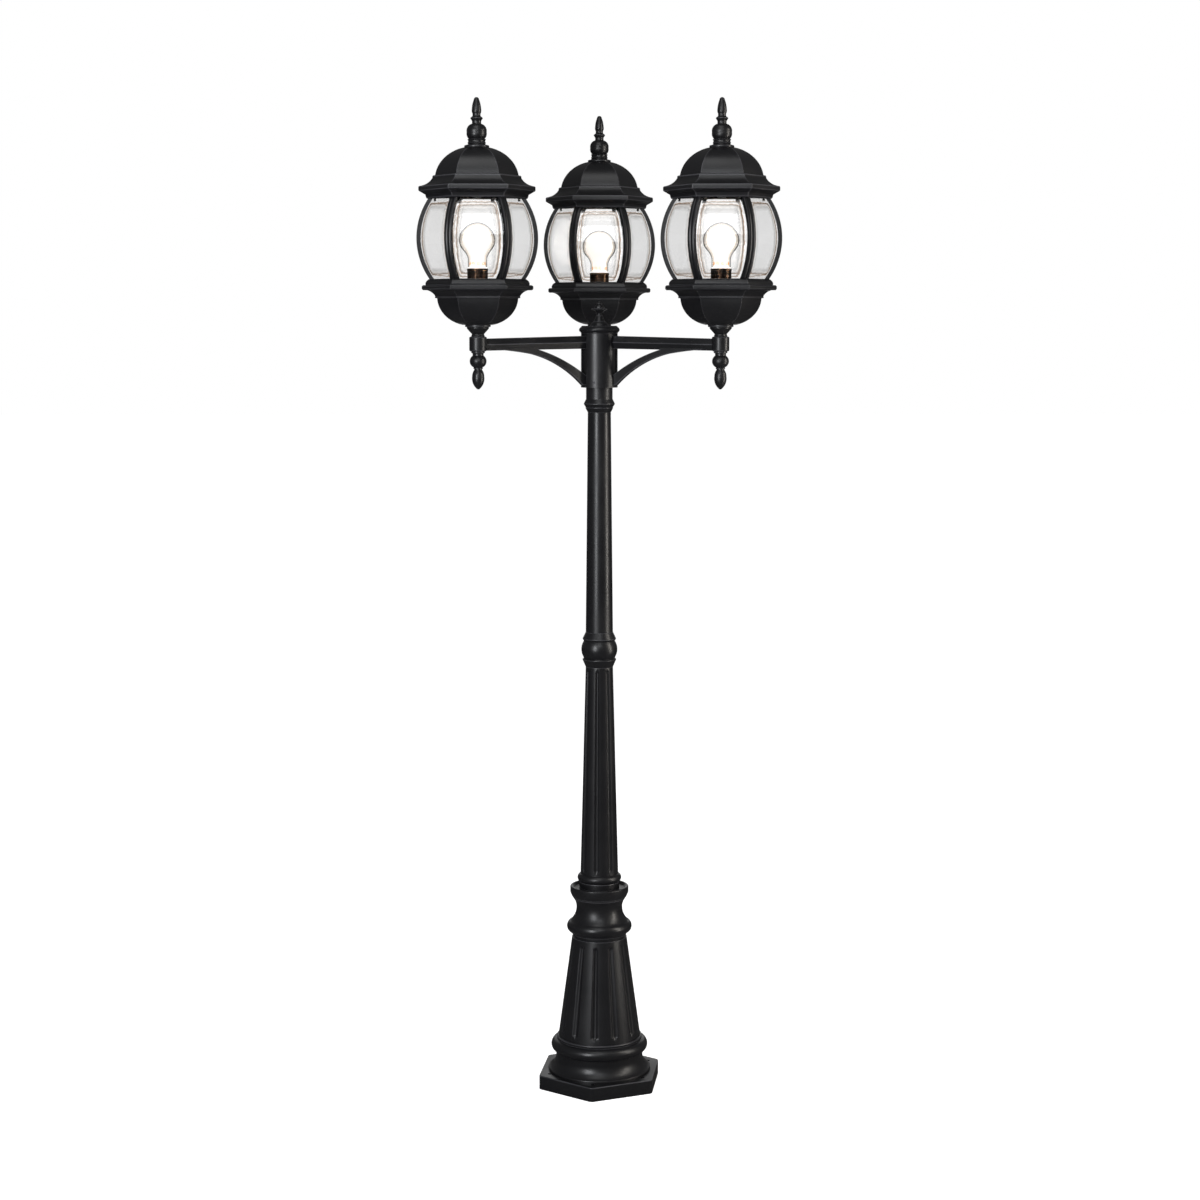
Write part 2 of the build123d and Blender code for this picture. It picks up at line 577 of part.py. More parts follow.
# ---------------------------------------------------------------- knuckle and neck
with BuildPart() as knuckle:
    ball_low_z = KNUCKLE_Z + KNUCKLE_CONE_HEIGHT + KNUCKLE_LIP_HEIGHT
    ball_high_z = ball_low_z + KNUCKLE_BALL_HEIGHT
    with BuildSketch(Plane.XZ):
        with BuildLine():
            Polyline(
                (KNUCKLE_GROOVE_RADIUS, ball_high_z),
                (KNUCKLE_RING_RADIUS, ball_high_z + KNUCKLE_LIP_HEIGHT),
                (KNUCKLE_END_RADIUS, UPPER_COLUMN_Z),
                (NIPPLE_RADIUS, UPPER_COLUMN_Z),
                (NIPPLE_RADIUS, KNUCKLE_Z),
                (KNUCKLE_END_RADIUS, KNUCKLE_Z),
                (KNUCKLE_RING_RADIUS, KNUCKLE_Z + KNUCKLE_CONE_HEIGHT),
                (KNUCKLE_GROOVE_RADIUS, ball_low_z),
            )
            rounded(
                (KNUCKLE_GROOVE_RADIUS, ball_low_z),
                (KNUCKLE_BALL_RADIUS, (ball_low_z + ball_high_z) / 2),
                (KNUCKLE_GROOVE_RADIUS, ball_high_z),
            )
        make_face()
    revolve(axis=Axis.Z)

with BuildPart() as neck_collar:
    bead_z = NECK_Z + NECK_CONE_HEIGHT
    shoulder_z = bead_z + NECK_RING_HEIGHT
    with BuildSketch(Plane.XZ):
        Polygon(
            (NIPPLE_RADIUS, NECK_Z),
            (UPPER_COLUMN_TOP_RADIUS, NECK_Z),
            (NECK_BEAD_RADIUS, bead_z),
            (NECK_RADIUS, bead_z + NECK_BEAD_HEIGHT),
            (NECK_RING_RADIUS, bead_z + NECK_RING_HEIGHT / 2),
            (NECK_RADIUS, shoulder_z),
            (NECK_RADIUS, HUB_Z),
            (SPIGOT_RADIUS, HUB_Z),
            (SPIGOT_RADIUS, HUB_Z + SPIGOT_HEIGHT),
            (SPIGOT_RADIUS - COLUMN_WALL, HUB_Z + SPIGOT_HEIGHT),
            (SPIGOT_RADIUS - COLUMN_WALL, shoulder_z),
            (NIPPLE_RADIUS, shoulder_z),
            align=None,
        )
    revolve(axis=Axis.Z)

# ---------------------------------------------------------------- hub, its cap and screws
HUB_BORE_RADIUS = SPIGOT_RADIUS + SPIGOT_CLEARANCE
SLOT_HEAD_RADIUS = HUB_BORE_RADIUS + SLOT_INNER_WALL
SLOT_SHOULDER_RADIUS = SLOT_HEAD_RADIUS + SLOT_HEAD_DEPTH
SLOT_FLOOR_Z = HUB_Z + HUB_FLOOR
SCREW_HEADINGS = [
    heading + 60 + side * SET_SCREW_SPREAD for heading in ARM_HEADINGS.values() for side in (-1, 1)
]

with BuildPart() as hub:
    with Locations((0, 0, HUB_Z)):
        Cylinder(HUB_RADIUS, HUB_HEIGHT, align=(Align.CENTER, Align.CENTER, Align.MIN))
        Cylinder(
            HUB_BORE_RADIUS,
            SPIGOT_HEIGHT + HUB_SPIGOT_GAP,
            align=(Align.CENTER, Align.CENTER, Align.MIN),
            mode=Mode.SUBTRACT,
        )
    with BuildSketch(Plane.XY.offset(HUB_TOP_Z)):
        Circle(STUD_RADIUS)
    extrude(amount=-CAP_STUD_REACH, mode=Mode.SUBTRACT)
    with BuildSketch(Plane.XY.offset(SLOT_FLOOR_Z)):
        for heading in ARM_HEADINGS.values():
            with Locations(Location((0, 0, 0), (0, 0, heading))):
                with Locations((SLOT_HEAD_RADIUS, 0)):
                    Rectangle(SLOT_HEAD_DEPTH, SLOT_HEAD_WIDTH, align=(Align.MIN, Align.CENTER))
                    Rectangle(HUB_RADIUS, SLOT_WIDTH, align=(Align.MIN, Align.CENTER))
    extrude(amount=HUB_HEIGHT, mode=Mode.SUBTRACT)
    for heading in SCREW_HEADINGS:
        with BuildSketch(radial_plane(heading, HUB_Z + SET_SCREW_HEIGHT)):
            Circle(SET_SCREW_RADIUS)
        extrude(amount=HUB_RADIUS, mode=Mode.SUBTRACT)

with BuildPart() as hub_set_screws:
    for heading in SCREW_HEADINGS:
        with BuildSketch(radial_plane(heading, HUB_Z + SET_SCREW_HEIGHT).offset(HUB_BORE_RADIUS)):
            Circle(SET_SCREW_RADIUS)
        extrude(amount=HUB_RADIUS - HUB_BORE_RADIUS - SET_SCREW_RECESS)

with BuildPart() as hub_cap:
    ring_z = HUB_TOP_Z + CAP_FOOT_HEIGHT
    cone_z = ring_z + CAP_RING_HEIGHT
    step_z = cone_z + CAP_STEP_HEIGHT
    with BuildSketch(Plane.XZ):
        with BuildLine():
            Polyline(
                (CAP_CONE_RADIUS, cone_z - CAP_CONE_DROP),
                (CAP_RING_TOP_RADIUS, cone_z),
                (CAP_RING_RADIUS, ring_z + CAP_RIM_HEIGHT),
                (HUB_RADIUS, ring_z),
                (HUB_RADIUS, HUB_TOP_Z),
                (STUD_RADIUS + STUD_CLEARANCE, HUB_TOP_Z),
                (STUD_RADIUS + STUD_CLEARANCE, CAP_TOP_Z),
                (CAP_TOP_RADIUS, CAP_TOP_Z),
                (CAP_STEP_RADIUS - CAP_STEP_WIDTH, step_z),
                (CAP_STEP_RADIUS, step_z),
            )
            step_edge = (CAP_STEP_RADIUS, step_z)
            cone_foot = (CAP_CONE_RADIUS, cone_z - CAP_CONE_DROP)
            rounded(step_edge, arc_sag(step_edge, cone_foot, CAP_CONE_SAG), cone_foot, steps=2)
        make_face()
    revolve(axis=Axis.Z)

with BuildPart() as hub_finial:
    stem_z = CAP_TOP_Z + CUP_STEM_HEIGHT
    cup_z = stem_z + CUP_HEIGHT / 2
    dome_z = cup_z + CUP_LIP_HEIGHT
    tip_z = CAP_TOP_Z + CUP_STEM_HEIGHT + CUP_HEIGHT
    with BuildSketch(Plane.XZ):
        Polygon(
            (0, HUB_TOP_Z - CAP_STUD_REACH),
            (STUD_RADIUS, HUB_TOP_Z - CAP_STUD_REACH),
            (STUD_RADIUS, CAP_TOP_Z),
            (CAP_TOP_RADIUS, CAP_TOP_Z),
            (CUP_STEM_RADIUS, stem_z),
            (CUP_RADIUS, cup_z),
            (CUP_DOME_RADIUS, dome_z),
            (CUP_SHOULDER_RADIUS, (dome_z + tip_z) / 2),
            (CUP_TIP_RADIUS, tip_z),
            (CUP_TIP_RADIUS, tip_z + CUP_TIP_RADIUS),
            (0, tip_z + CUP_TIP_HEIGHT),
            align=None,
        )
    revolve(axis=Axis.Z)

# ---------------------------------------------------------------- arms, built along +X and turned to each heading
ROOT_FACE_RADIUS = HUB_RADIUS - ROOT_RECESS
BRACE_FOOT_Z = SLOT_FLOOR_Z + SLOT_CLEARANCE


def beam_section(reach, height):
    # Six-sided section of the beam, with a ridge halfway up either side.
    with BuildSketch(Plane(origin=(reach, 0, ARM_Z), x_dir=(0, 1, 0), z_dir=(1, 0, 0))) as section:
        Polygon(
            (-BEAM_WIDTH / 2, 0),
            (-BEAM_FLAT / 2, height / 2),
            (BEAM_FLAT / 2, height / 2),
            (BEAM_WIDTH / 2, 0),
            (BEAM_FLAT / 2, -height / 2),
            (-BEAM_FLAT / 2, -height / 2),
            align=None,
        )
    return section.sketch


with BuildPart() as arm:
    with BuildSketch(Plane.XY.offset(SLOT_FLOOR_Z)):
        with Locations((SLOT_HEAD_RADIUS + SLOT_CLEARANCE, 0)):
            Rectangle(
                SLOT_HEAD_DEPTH - 2 * SLOT_CLEARANCE,
                SLOT_HEAD_WIDTH - 2 * SLOT_CLEARANCE,
                align=(Align.MIN, Align.CENTER),
            )
            Rectangle(
                ROOT_FACE_RADIUS - SLOT_HEAD_RADIUS - SLOT_CLEARANCE,
                SLOT_WIDTH - 2 * SLOT_CLEARANCE,
                align=(Align.MIN, Align.CENTER),
            )
    extrude(amount=HUB_TOP_Z - SLOT_FLOOR_Z)
    beam_ends = [
        beam_section(ROOT_FACE_RADIUS - ROOT_OVERLAP, BEAM_ROOT_HEIGHT),
        beam_section(ARM_REACH, BEAM_TIP_HEIGHT),
    ]
    loft(beam_ends, ruled=True)
    with BuildSketch(Plane.XZ):
        with BuildLine():
            beam_under_z = ARM_Z - BEAM_ROOT_HEIGHT / 2
            top_start = (ROOT_FACE_RADIUS - ROOT_OVERLAP, BRACE_FOOT_Z + BRACE_FOOT_HEIGHT)
            top_end = (BRACE_TOP_REACH, beam_under_z + BRACE_CHAMFER)
            foot = (HUB_RADIUS + BRACE_FOOT_STEP, BRACE_FOOT_Z)
            knee = (BRACE_KNEE_REACH, beam_under_z - BRACE_KNEE_DROP)
            toe = (BRACE_TOE_REACH, ARM_Z - BEAM_TIP_HEIGHT / 2 + BRACE_CHAMFER)
            ThreePointArc(top_start, arc_sag(top_start, top_end, BRACE_TOP_SAG), top_end)
            Polyline(top_end, (BRACE_TOP_REACH, ARM_Z), (BRACE_TOE_REACH, ARM_Z), toe)
            ThreePointArc(toe, arc_sag(toe, knee, -BRACE_TOE_SAG), knee)
            ThreePointArc(knee, arc_sag(knee, foot, -BRACE_SAG), foot)
            Polyline(foot, (ROOT_FACE_RADIUS - ROOT_OVERLAP, BRACE_FOOT_Z), top_start)
        make_face()
    extrude(amount=BRACE_WIDTH / 2, both=True)
    with BuildSketch(Plane(origin=(ARM_REACH, 0, ARM_Z), x_dir=(1, 0, 0), z_dir=(0, -1, 0))):
        Polygon(
            (0, -BARREL_HEIGHT / 2),
            (BARREL_RADIUS - BARREL_CHAMFER, -BARREL_HEIGHT / 2),
            (BARREL_RADIUS, -BARREL_HEIGHT / 2 + BARREL_CHAMFER),
            (BARREL_RADIUS, BARREL_HEIGHT / 2 - BARREL_CHAMFER),
            (BARREL_RADIUS - BARREL_CHAMFER, BARREL_HEIGHT / 2),
            (0, BARREL_HEIGHT / 2),
            align=None,
        )
    revolve(axis=Axis((ARM_REACH, 0, ARM_Z), (0, 0, 1)))
    with Locations((ARM_REACH, 0, ARM_Z)):
        Cylinder(STEM_RADIUS + STEM_CLEARANCE, BARREL_HEIGHT, mode=Mode.SUBTRACT)

# ---------------------------------------------------------------- lantern stem
HOLDER_BOTTOM = HOLDER_TOP - HOLDER_HEIGHT

with BuildPart() as stem_nipple:
    with BuildSketch(Plane.XY.offset(-BARREL_HEIGHT / 2 - PENDANT_THREAD)):
        Circle(STEM_RADIUS)
        Circle(STEM_BORE_RADIUS, mode=Mode.SUBTRACT)
    extrude(amount=HOLDER_BOTTOM + HOLDER_FLOOR + BARREL_HEIGHT / 2 + PENDANT_THREAD)

with BuildPart() as stem_collar:
    with BuildSketch(Plane.XZ):
        Polygon(
            (STEM_RADIUS + STEM_CLEARANCE, BARREL_TOP),
            (COLLAR_FOOT_RADIUS, BARREL_TOP),
            (COLLAR_NECK_RADIUS, BARREL_TOP + COLLAR_NECK_LEVEL),
            (COLLAR_RING_RADIUS, BARREL_TOP + COLLAR_RING_LEVEL),
            (COLLAR_RING_RADIUS, BARREL_TOP + COLLAR_RING_LEVEL + COLLAR_RING_HEIGHT),
            (COLLAR_FLANGE_RADIUS, PAN_FLOOR - COLLAR_FLANGE_HEIGHT),
            (COLLAR_FLANGE_RADIUS, PAN_FLOOR),
            (STEM_RADIUS + STEM_CLEARANCE, PAN_FLOOR),
            align=None,
        )
    revolve(axis=Axis.Z)

with BuildPart() as pendant:
    pendant_top = -BARREL_TOP
    neck_level = pendant_top - PENDANT_TOP_HEIGHT
    ball_level = neck_level - PENDANT_NECK_HEIGHT
    waist_level = ball_level - PENDANT_BALL_HEIGHT
    drop_level = waist_level - PENDANT_NECK_HEIGHT
    tip_level = drop_level - PENDANT_DROP_HEIGHT
    widest_level = drop_level - PENDANT_WIDEST_LEVEL
    with BuildSketch(Plane.XZ):
        with BuildLine():
            Polyline(
                (0, pendant_top - PENDANT_THREAD),
                (STEM_RADIUS, pendant_top - PENDANT_THREAD),
                (STEM_RADIUS, pendant_top),
                (PENDANT_TOP_RADIUS, pendant_top),
                (PENDANT_TOP_RADIUS, neck_level),
                (PENDANT_NECK_RADIUS, ball_level),
            )
            rounded(
                (PENDANT_NECK_RADIUS, ball_level),
                (PENDANT_BALL_RADIUS, (ball_level + waist_level) / 2),
                (PENDANT_WAIST_RADIUS, waist_level),
            )
            Polyline(
                (PENDANT_WAIST_RADIUS, waist_level),
                (PENDANT_WAIST_RADIUS, drop_level),
                (PENDANT_DROP_RADIUS, widest_level),
            )
            rounded(
                (PENDANT_DROP_RADIUS, widest_level),
                (PENDANT_TAPER_RADIUS, (widest_level + tip_level) / 2),
                (0, tip_level),
            )
            Line((0, tip_level), (0, pendant_top - PENDANT_THREAD))
        make_face()
    revolve(axis=Axis.Z)

# ---------------------------------------------------------------- lantern pan
PAN_REACH = 2 * PAN_LIP_APOTHEM


def pan_outline():
    step = PAN_FLOOR + PAN_STEP_HEIGHT
    lip = CAGE_FLOOR - PAN_LIP_HEIGHT
    Polyline((0, PAN_FLOOR), (PAN_FLOOR_APOTHEM, PAN_FLOOR))
    bowl_start = (PAN_FLOOR_APOTHEM, PAN_FLOOR)
    bowl_end = (PAN_STEP_APOTHEM, step)
    ThreePointArc(bowl_start, arc_sag(bowl_start, bowl_end, -PAN_BOWL_SAG), bowl_end)
    Polyline(bowl_end, (PAN_BEAD_APOTHEM, step), (PAN_BEAD_APOTHEM, step + PAN_BEAD_HEIGHT))
    cove_start = (PAN_BEAD_APOTHEM, step + PAN_BEAD_HEIGHT)
    cove_end = (PAN_COVE_APOTHEM, lip)
    ThreePointArc(cove_start, arc_sag(cove_start, cove_end, PAN_COVE_SAG), cove_end)
    Polyline(
        cove_end,
        (PAN_LIP_APOTHEM - PAN_LIP_CHAMFER, lip),
        (PAN_LIP_APOTHEM, lip + PAN_LIP_CHAMFER),
        (PAN_LIP_APOTHEM, CAGE_FLOOR - PAN_LIP_CHAMFER),
        (PAN_LIP_APOTHEM - PAN_LIP_CHAMFER, CAGE_FLOOR),
        (0, CAGE_FLOOR),
        (0, PAN_FLOOR),
    )


def pan_cavity_outline():
    ledge = CAGE_FLOOR - COVER_THICKNESS
    step = PAN_FLOOR + PAN_STEP_HEIGHT
    start = (PAN_FLOOR_APOTHEM - PAN_WALL, PAN_FLOOR + PAN_WALL)
    end = (PAN_STEP_APOTHEM - PAN_WALL, step + PAN_WALL)
    Polyline((0, PAN_FLOOR + PAN_WALL), start)
    ThreePointArc(start, arc_sag(start, end, -PAN_BOWL_SAG), end)
    Polyline(
        end,
        (PAN_COVE_APOTHEM - PAN_WALL - COVER_LEDGE, ledge - COVER_LEDGE),
        (PAN_COVE_APOTHEM - PAN_WALL - COVER_LEDGE, ledge),
        (PAN_COVE_APOTHEM - PAN_WALL, ledge),
        (PAN_COVE_APOTHEM - PAN_WALL, CAGE_FLOOR + PAN_WALL),
        (0, CAGE_FLOOR + PAN_WALL),
        (0, PAN_FLOOR + PAN_WALL),
    )


pan_body = hexagonal(pan_outline, PAN_REACH)
pan_cavity = hexagonal(pan_cavity_outline, PAN_REACH)

with BuildPart() as pan:
    add(pan_body)
    add(pan_cavity, mode=Mode.SUBTRACT)
    with Locations((0, 0, PAN_FLOOR)):
        Cylinder(STEM_RADIUS + STEM_CLEARANCE, 4 * PAN_WALL, mode=Mode.SUBTRACT)

with BuildPart() as pan_cover:
    with BuildSketch(Plane.XY.offset(CAGE_FLOOR - COVER_THICKNESS)):
        RegularPolygon((PAN_COVE_APOTHEM - PAN_WALL - STEM_CLEARANCE) / COS30, 6, rotation=30)
        Circle(HOLDER_RADIUS + CAP_CLEARANCE, mode=Mode.SUBTRACT)
    extrude(amount=COVER_THICKNESS)

# ---------------------------------------------------------------- lantern cage
CAGE_REACH = 2 * CAGE_MID_APOTHEM


def rib_arc(inset):
    ThreePointArc(
        (CAGE_FOOT_APOTHEM - inset, CAGE_SILL),
        (CAGE_MID_APOTHEM - inset, CAGE_MID),
        (CAGE_TOP_APOTHEM - inset, RIB_TOP),
    )


def cage_outline():
    Polyline(
        (0, CAGE_FLOOR),
        (CAGE_RING_APOTHEM, CAGE_FLOOR),
        (CAGE_RING_TOP_APOTHEM, CAGE_FLOOR + CAGE_RING_HEIGHT),
        (CAGE_FOOT_APOTHEM, CAGE_SILL),
    )
    rib_arc(0)
    Polyline(
        (CAGE_TOP_APOTHEM, RIB_TOP),
        (CAGE_HEAD_APOTHEM, RIB_TOP),
        (CAGE_HEAD_APOTHEM, ROOF_SEAT),
        (0, ROOF_SEAT),
        (0, CAGE_FLOOR),
    )


def glass_room_outline():
    # Space inside the ribs, from the cage's floor to its head ring.
    Polyline(
        (0, CAGE_FLOOR),
        (CAGE_FOOT_APOTHEM - CAGE_WALL, CAGE_FLOOR),
        (CAGE_FOOT_APOTHEM - CAGE_WALL, CAGE_SILL),
    )
    rib_arc(CAGE_WALL)
    shelf = ROOF_SEAT - CAGE_SHELF_THICKNESS
    Polyline(
        (CAGE_TOP_APOTHEM - CAGE_WALL, RIB_TOP),
        (CAGE_TOP_APOTHEM - CAGE_WALL, shelf),
        (CAGE_COLLAR_APOTHEM - CAGE_SHELF_WIDTH, shelf),
        (CAGE_COLLAR_APOTHEM - CAGE_SHELF_WIDTH, ROOF_SEAT),
        (0, ROOF_SEAT),
        (0, CAGE_FLOOR),
    )


def corner_wedge(inset, low, high):
    # Upright sector of the +X face between its corner planes, each moved in by the inset along the face.
    apex = inset / TAN30
    far = apex + CAGE_REACH
    with BuildPart() as wedge:
        with BuildSketch(Plane.XY.offset(low)):
            Polygon((apex, 0), (far, CAGE_REACH * TAN30), (far, -CAGE_REACH * TAN30), align=None)
        extrude(amount=high - low)
    return wedge.part


cage_body = hexagonal(cage_outline, CAGE_REACH)
glass_room = hexagonal(glass_room_outline, CAGE_REACH)
window = corner_wedge(CAGE_RIB_WIDTH, CAGE_SILL, RIB_TOP + WINDOW_RISE)

with BuildPart() as cage:
    add(cage_body)
    add(glass_room, mode=Mode.SUBTRACT)
    with PolarLocations(0, 6):
        add(window, mode=Mode.SUBTRACT)
    with BuildSketch(Plane.XY.offset(ROOF_SEAT)):
        RegularPolygon(CAGE_COLLAR_APOTHEM / COS30, 6, rotation=30)
        RegularPolygon((CAGE_COLLAR_APOTHEM - CAGE_COLLAR_WALL) / COS30, 6, rotation=30, mode=Mode.SUBTRACT)
    extrude(amount=CAGE_COLLAR_HEIGHT)

# ---------------------------------------------------------------- lantern glass
GLASS_OUTSIDE = CAGE_WALL + GLASS_GAP
GLASS_INSIDE = GLASS_OUTSIDE + GLASS_THICKNESS
GLASS_LOW = CAGE_SILL - GLASS_LAP
GLASS_HIGH = RIB_TOP + GLASS_LAP

with BuildPart() as pane:
    with BuildSketch(facing_plane(0)):
        with BuildLine():
            rib_arc(GLASS_OUTSIDE)
            rib_arc(GLASS_INSIDE)
            Polyline(
                (CAGE_TOP_APOTHEM - GLASS_OUTSIDE, RIB_TOP),
                (CAGE_TOP_APOTHEM - GLASS_OUTSIDE, GLASS_HIGH),
                (CAGE_TOP_APOTHEM - GLASS_INSIDE, GLASS_HIGH),
                (CAGE_TOP_APOTHEM - GLASS_INSIDE, RIB_TOP),
            )
            Polyline(
                (CAGE_FOOT_APOTHEM - GLASS_OUTSIDE, CAGE_SILL),
                (CAGE_FOOT_APOTHEM - GLASS_OUTSIDE, GLASS_LOW),
                (CAGE_FOOT_APOTHEM - GLASS_INSIDE, GLASS_LOW),
                (CAGE_FOOT_APOTHEM - GLASS_INSIDE, CAGE_SILL),
            )
        make_face()
    extrude(amount=CAGE_REACH, both=True)
    add(corner_wedge(GLASS_EDGE_GAP, GLASS_LOW, GLASS_HIGH), mode=Mode.INTERSECT)

with BuildPart() as glass:
    with PolarLocations(0, 6):
        add(pane.part)

clip_apothem = CAGE_TOP_APOTHEM - GLASS_INSIDE - GLASS_GAP
clip_offset = clip_apothem * TAN30 - CLIP_WIDTH
with BuildPart() as glass_clips:
    with PolarLocations(0, 6):
        for side in (-1, 1):
            with Locations((clip_apothem, side * clip_offset, ROOF_SEAT - CAGE_SHELF_THICKNESS)):
                Box(
                    CLIP_THICKNESS,
                    CLIP_WIDTH,
                    CLIP_HEIGHT,
                    align=(Align.MAX, Align.CENTER, Align.MAX),
                )

# ---------------------------------------------------------------- lampholder and bulb
CAP_LOW = HOLDER_BOTTOM + HOLDER_FLOOR + CAP_CLEARANCE
SHELL_LOW = CAP_LOW + CAP_TIP_HEIGHT
GLOBE_LOW = HOLDER_TOP - HOLDER_MOUTH_DEPTH + CAP_CLEARANCE

with BuildPart() as lampholder:
    with BuildSketch(Plane.XZ):
        Polygon(
            (STEM_RADIUS, HOLDER_BOTTOM),
            (HOLDER_RADIUS, HOLDER_BOTTOM),
            (HOLDER_RADIUS, HOLDER_TOP),
            (HOLDER_MOUTH_RADIUS, HOLDER_TOP),
            (HOLDER_MOUTH_RADIUS, HOLDER_TOP - HOLDER_MOUTH_DEPTH),
            (CAP_SHELL_RADIUS + CAP_CLEARANCE, HOLDER_TOP - HOLDER_MOUTH_DEPTH),
            (CAP_SHELL_RADIUS + CAP_CLEARANCE, HOLDER_BOTTOM + HOLDER_FLOOR),
            (STEM_RADIUS, HOLDER_BOTTOM + HOLDER_FLOOR),
            align=None,
        )
    revolve(axis=Axis.Z)

with BuildPart() as bulb_cap:
    with BuildSketch(Plane.XZ):
        Polygon(
            (0, CAP_LOW),
            (CAP_TIP_RADIUS, CAP_LOW),
            (CAP_SHELL_RADIUS, SHELL_LOW),
            (CAP_SHELL_RADIUS, GLOBE_LOW),
            (0, GLOBE_LOW),
            align=None,
        )
    revolve(axis=Axis.Z)

with BuildPart() as bulb_globe:
    with BuildSketch(Plane.XZ):
        globe_centre = GLOBE_LOW + GLOBE_HEIGHT - GLOBE_RADIUS
        shoulder_turn = radians(GLOBE_SHOULDER_TURN)
        shoulder = (GLOBE_RADIUS * cos(shoulder_turn), globe_centre - GLOBE_RADIUS * sin(shoulder_turn))
        neck_top = (GLOBE_NECK_RADIUS, GLOBE_LOW + GLOBE_NECK_HEIGHT)
        with BuildLine():
            crown = (0, globe_centre + GLOBE_RADIUS)
            rounded(crown, (GLOBE_RADIUS, globe_centre), shoulder, steps=2 * ROUND_STEPS)
            rounded(shoulder, arc_sag(shoulder, neck_top, GLOBE_NECK_SAG), neck_top, steps=2)
            Polyline(
                neck_top,
                (GLOBE_NECK_RADIUS, GLOBE_LOW + GLOBE_FOOT_HEIGHT),
                (CAP_SHELL_RADIUS, GLOBE_LOW),
                (0, GLOBE_LOW),
                crown,
            )
        make_face()
    revolve(axis=Axis.Z)

# ---------------------------------------------------------------- lantern roof
ROOF_REACH = 2 * ROOF_BRIM_APOTHEM
ROOF_FLOOR = RIB_TOP + CAP_CLEARANCE


def roof_outline():
    ogee_start = (ROOF_BRIM_APOTHEM - ROOF_LIP_CHAMFER, ROOF_BRIM_TOP)
    ogee_end = (ROOF_SHOULDER_APOTHEM, ROOF_SHOULDER)
    dome_start = (ROOF_DOME_APOTHEM, ROOF_DOME)
    dome_end = (ROOF_TOP_APOTHEM, ROOF_TOP)
    Polyline(
        (0, ROOF_FLOOR),
        (ROOF_SEAT_APOTHEM, ROOF_FLOOR),
        (ROOF_SKIRT_APOTHEM, ROOF_FLOOR + ROOF_SKIRT_HEIGHT / 2),
        (ROOF_SKIRT_APOTHEM, ROOF_UNDERCUT),
        (ROOF_BRIM_APOTHEM - ROOF_LIP_CHAMFER, ROOF_BRIM),
        (ROOF_BRIM_APOTHEM, ROOF_BRIM + ROOF_LIP_CHAMFER),
        (ROOF_BRIM_APOTHEM, ROOF_BRIM_TOP - ROOF_LIP_CHAMFER),
        ogee_start,
    )
    ThreePointArc(ogee_start, arc_sag(ogee_start, ogee_end, ROOF_OGEE_SAG), ogee_end)
    Polyline(ogee_end, (ROOF_SHOULDER_APOTHEM, ROOF_DOME), dome_start)
    ThreePointArc(dome_start, arc_sag(dome_start, dome_end, -ROOF_DOME_SAG), dome_end)
    Polyline(dome_end, (0, ROOF_TOP), (0, ROOF_FLOOR))


def roof_cavity_outline():
    mouth = CAGE_HEAD_APOTHEM + ROOF_CLEARANCE
    throat = CAGE_COLLAR_APOTHEM + ROOF_CLEARANCE
    dome_start = (ROOF_DOME_APOTHEM - ROOF_WALL, ROOF_DOME - ROOF_WALL)
    dome_end = (ROOF_TOP_APOTHEM - ROOF_WALL, ROOF_TOP - ROOF_WALL)
    Polyline(
        (0, ROOF_FLOOR),
        (mouth, ROOF_FLOOR),
        (mouth, ROOF_SEAT),
        (throat, ROOF_SEAT),
        (throat, ROOF_BRIM),
        (ROOF_BRIM_APOTHEM - ROOF_BRIM_WALL, ROOF_BRIM + ROOF_WALL),
        (ROOF_SHOULDER_APOTHEM - ROOF_WALL, ROOF_SHOULDER - ROOF_WALL),
        dome_start,
    )
    ThreePointArc(dome_start, arc_sag(dome_start, dome_end, -ROOF_DOME_SAG), dome_end)
    Polyline(dome_end, (0, ROOF_TOP - ROOF_WALL), (0, ROOF_FLOOR))


roof_body = hexagonal(roof_outline, ROOF_REACH)
roof_cavity = hexagonal(roof_cavity_outline, ROOF_REACH)

with BuildPart() as roof:
    add(roof_body)
    add(roof_cavity, mode=Mode.SUBTRACT)
    with Locations((0, 0, ROOF_TOP)):
        Cylinder(STUD_RADIUS + STUD_CLEARANCE, 4 * ROOF_WALL, mode=Mode.SUBTRACT)

with BuildPart() as roof_bar:
    with BuildSketch(Plane.XY.offset(ROOF_SEAT)):
        Rectangle(2 * (CAGE_COLLAR_APOTHEM - CAGE_COLLAR_WALL - CAP_CLEARANCE), ROOF_BAR_WIDTH)
    extrude(amount=ROOF_BAR_THICKNESS)
    with BuildSketch(Plane.XY.offset(ROOF_SEAT + ROOF_BAR_THICKNESS)):
        Circle(ROOF_BAR_BOSS_RADIUS)
    extrude(amount=-ROOF_BAR_BOSS_HEIGHT)
    with Locations((0, 0, ROOF_SEAT)):
        Cylinder(STUD_RADIUS + STUD_CLEARANCE, 3 * ROOF_BAR_BOSS_HEIGHT, mode=Mode.SUBTRACT)

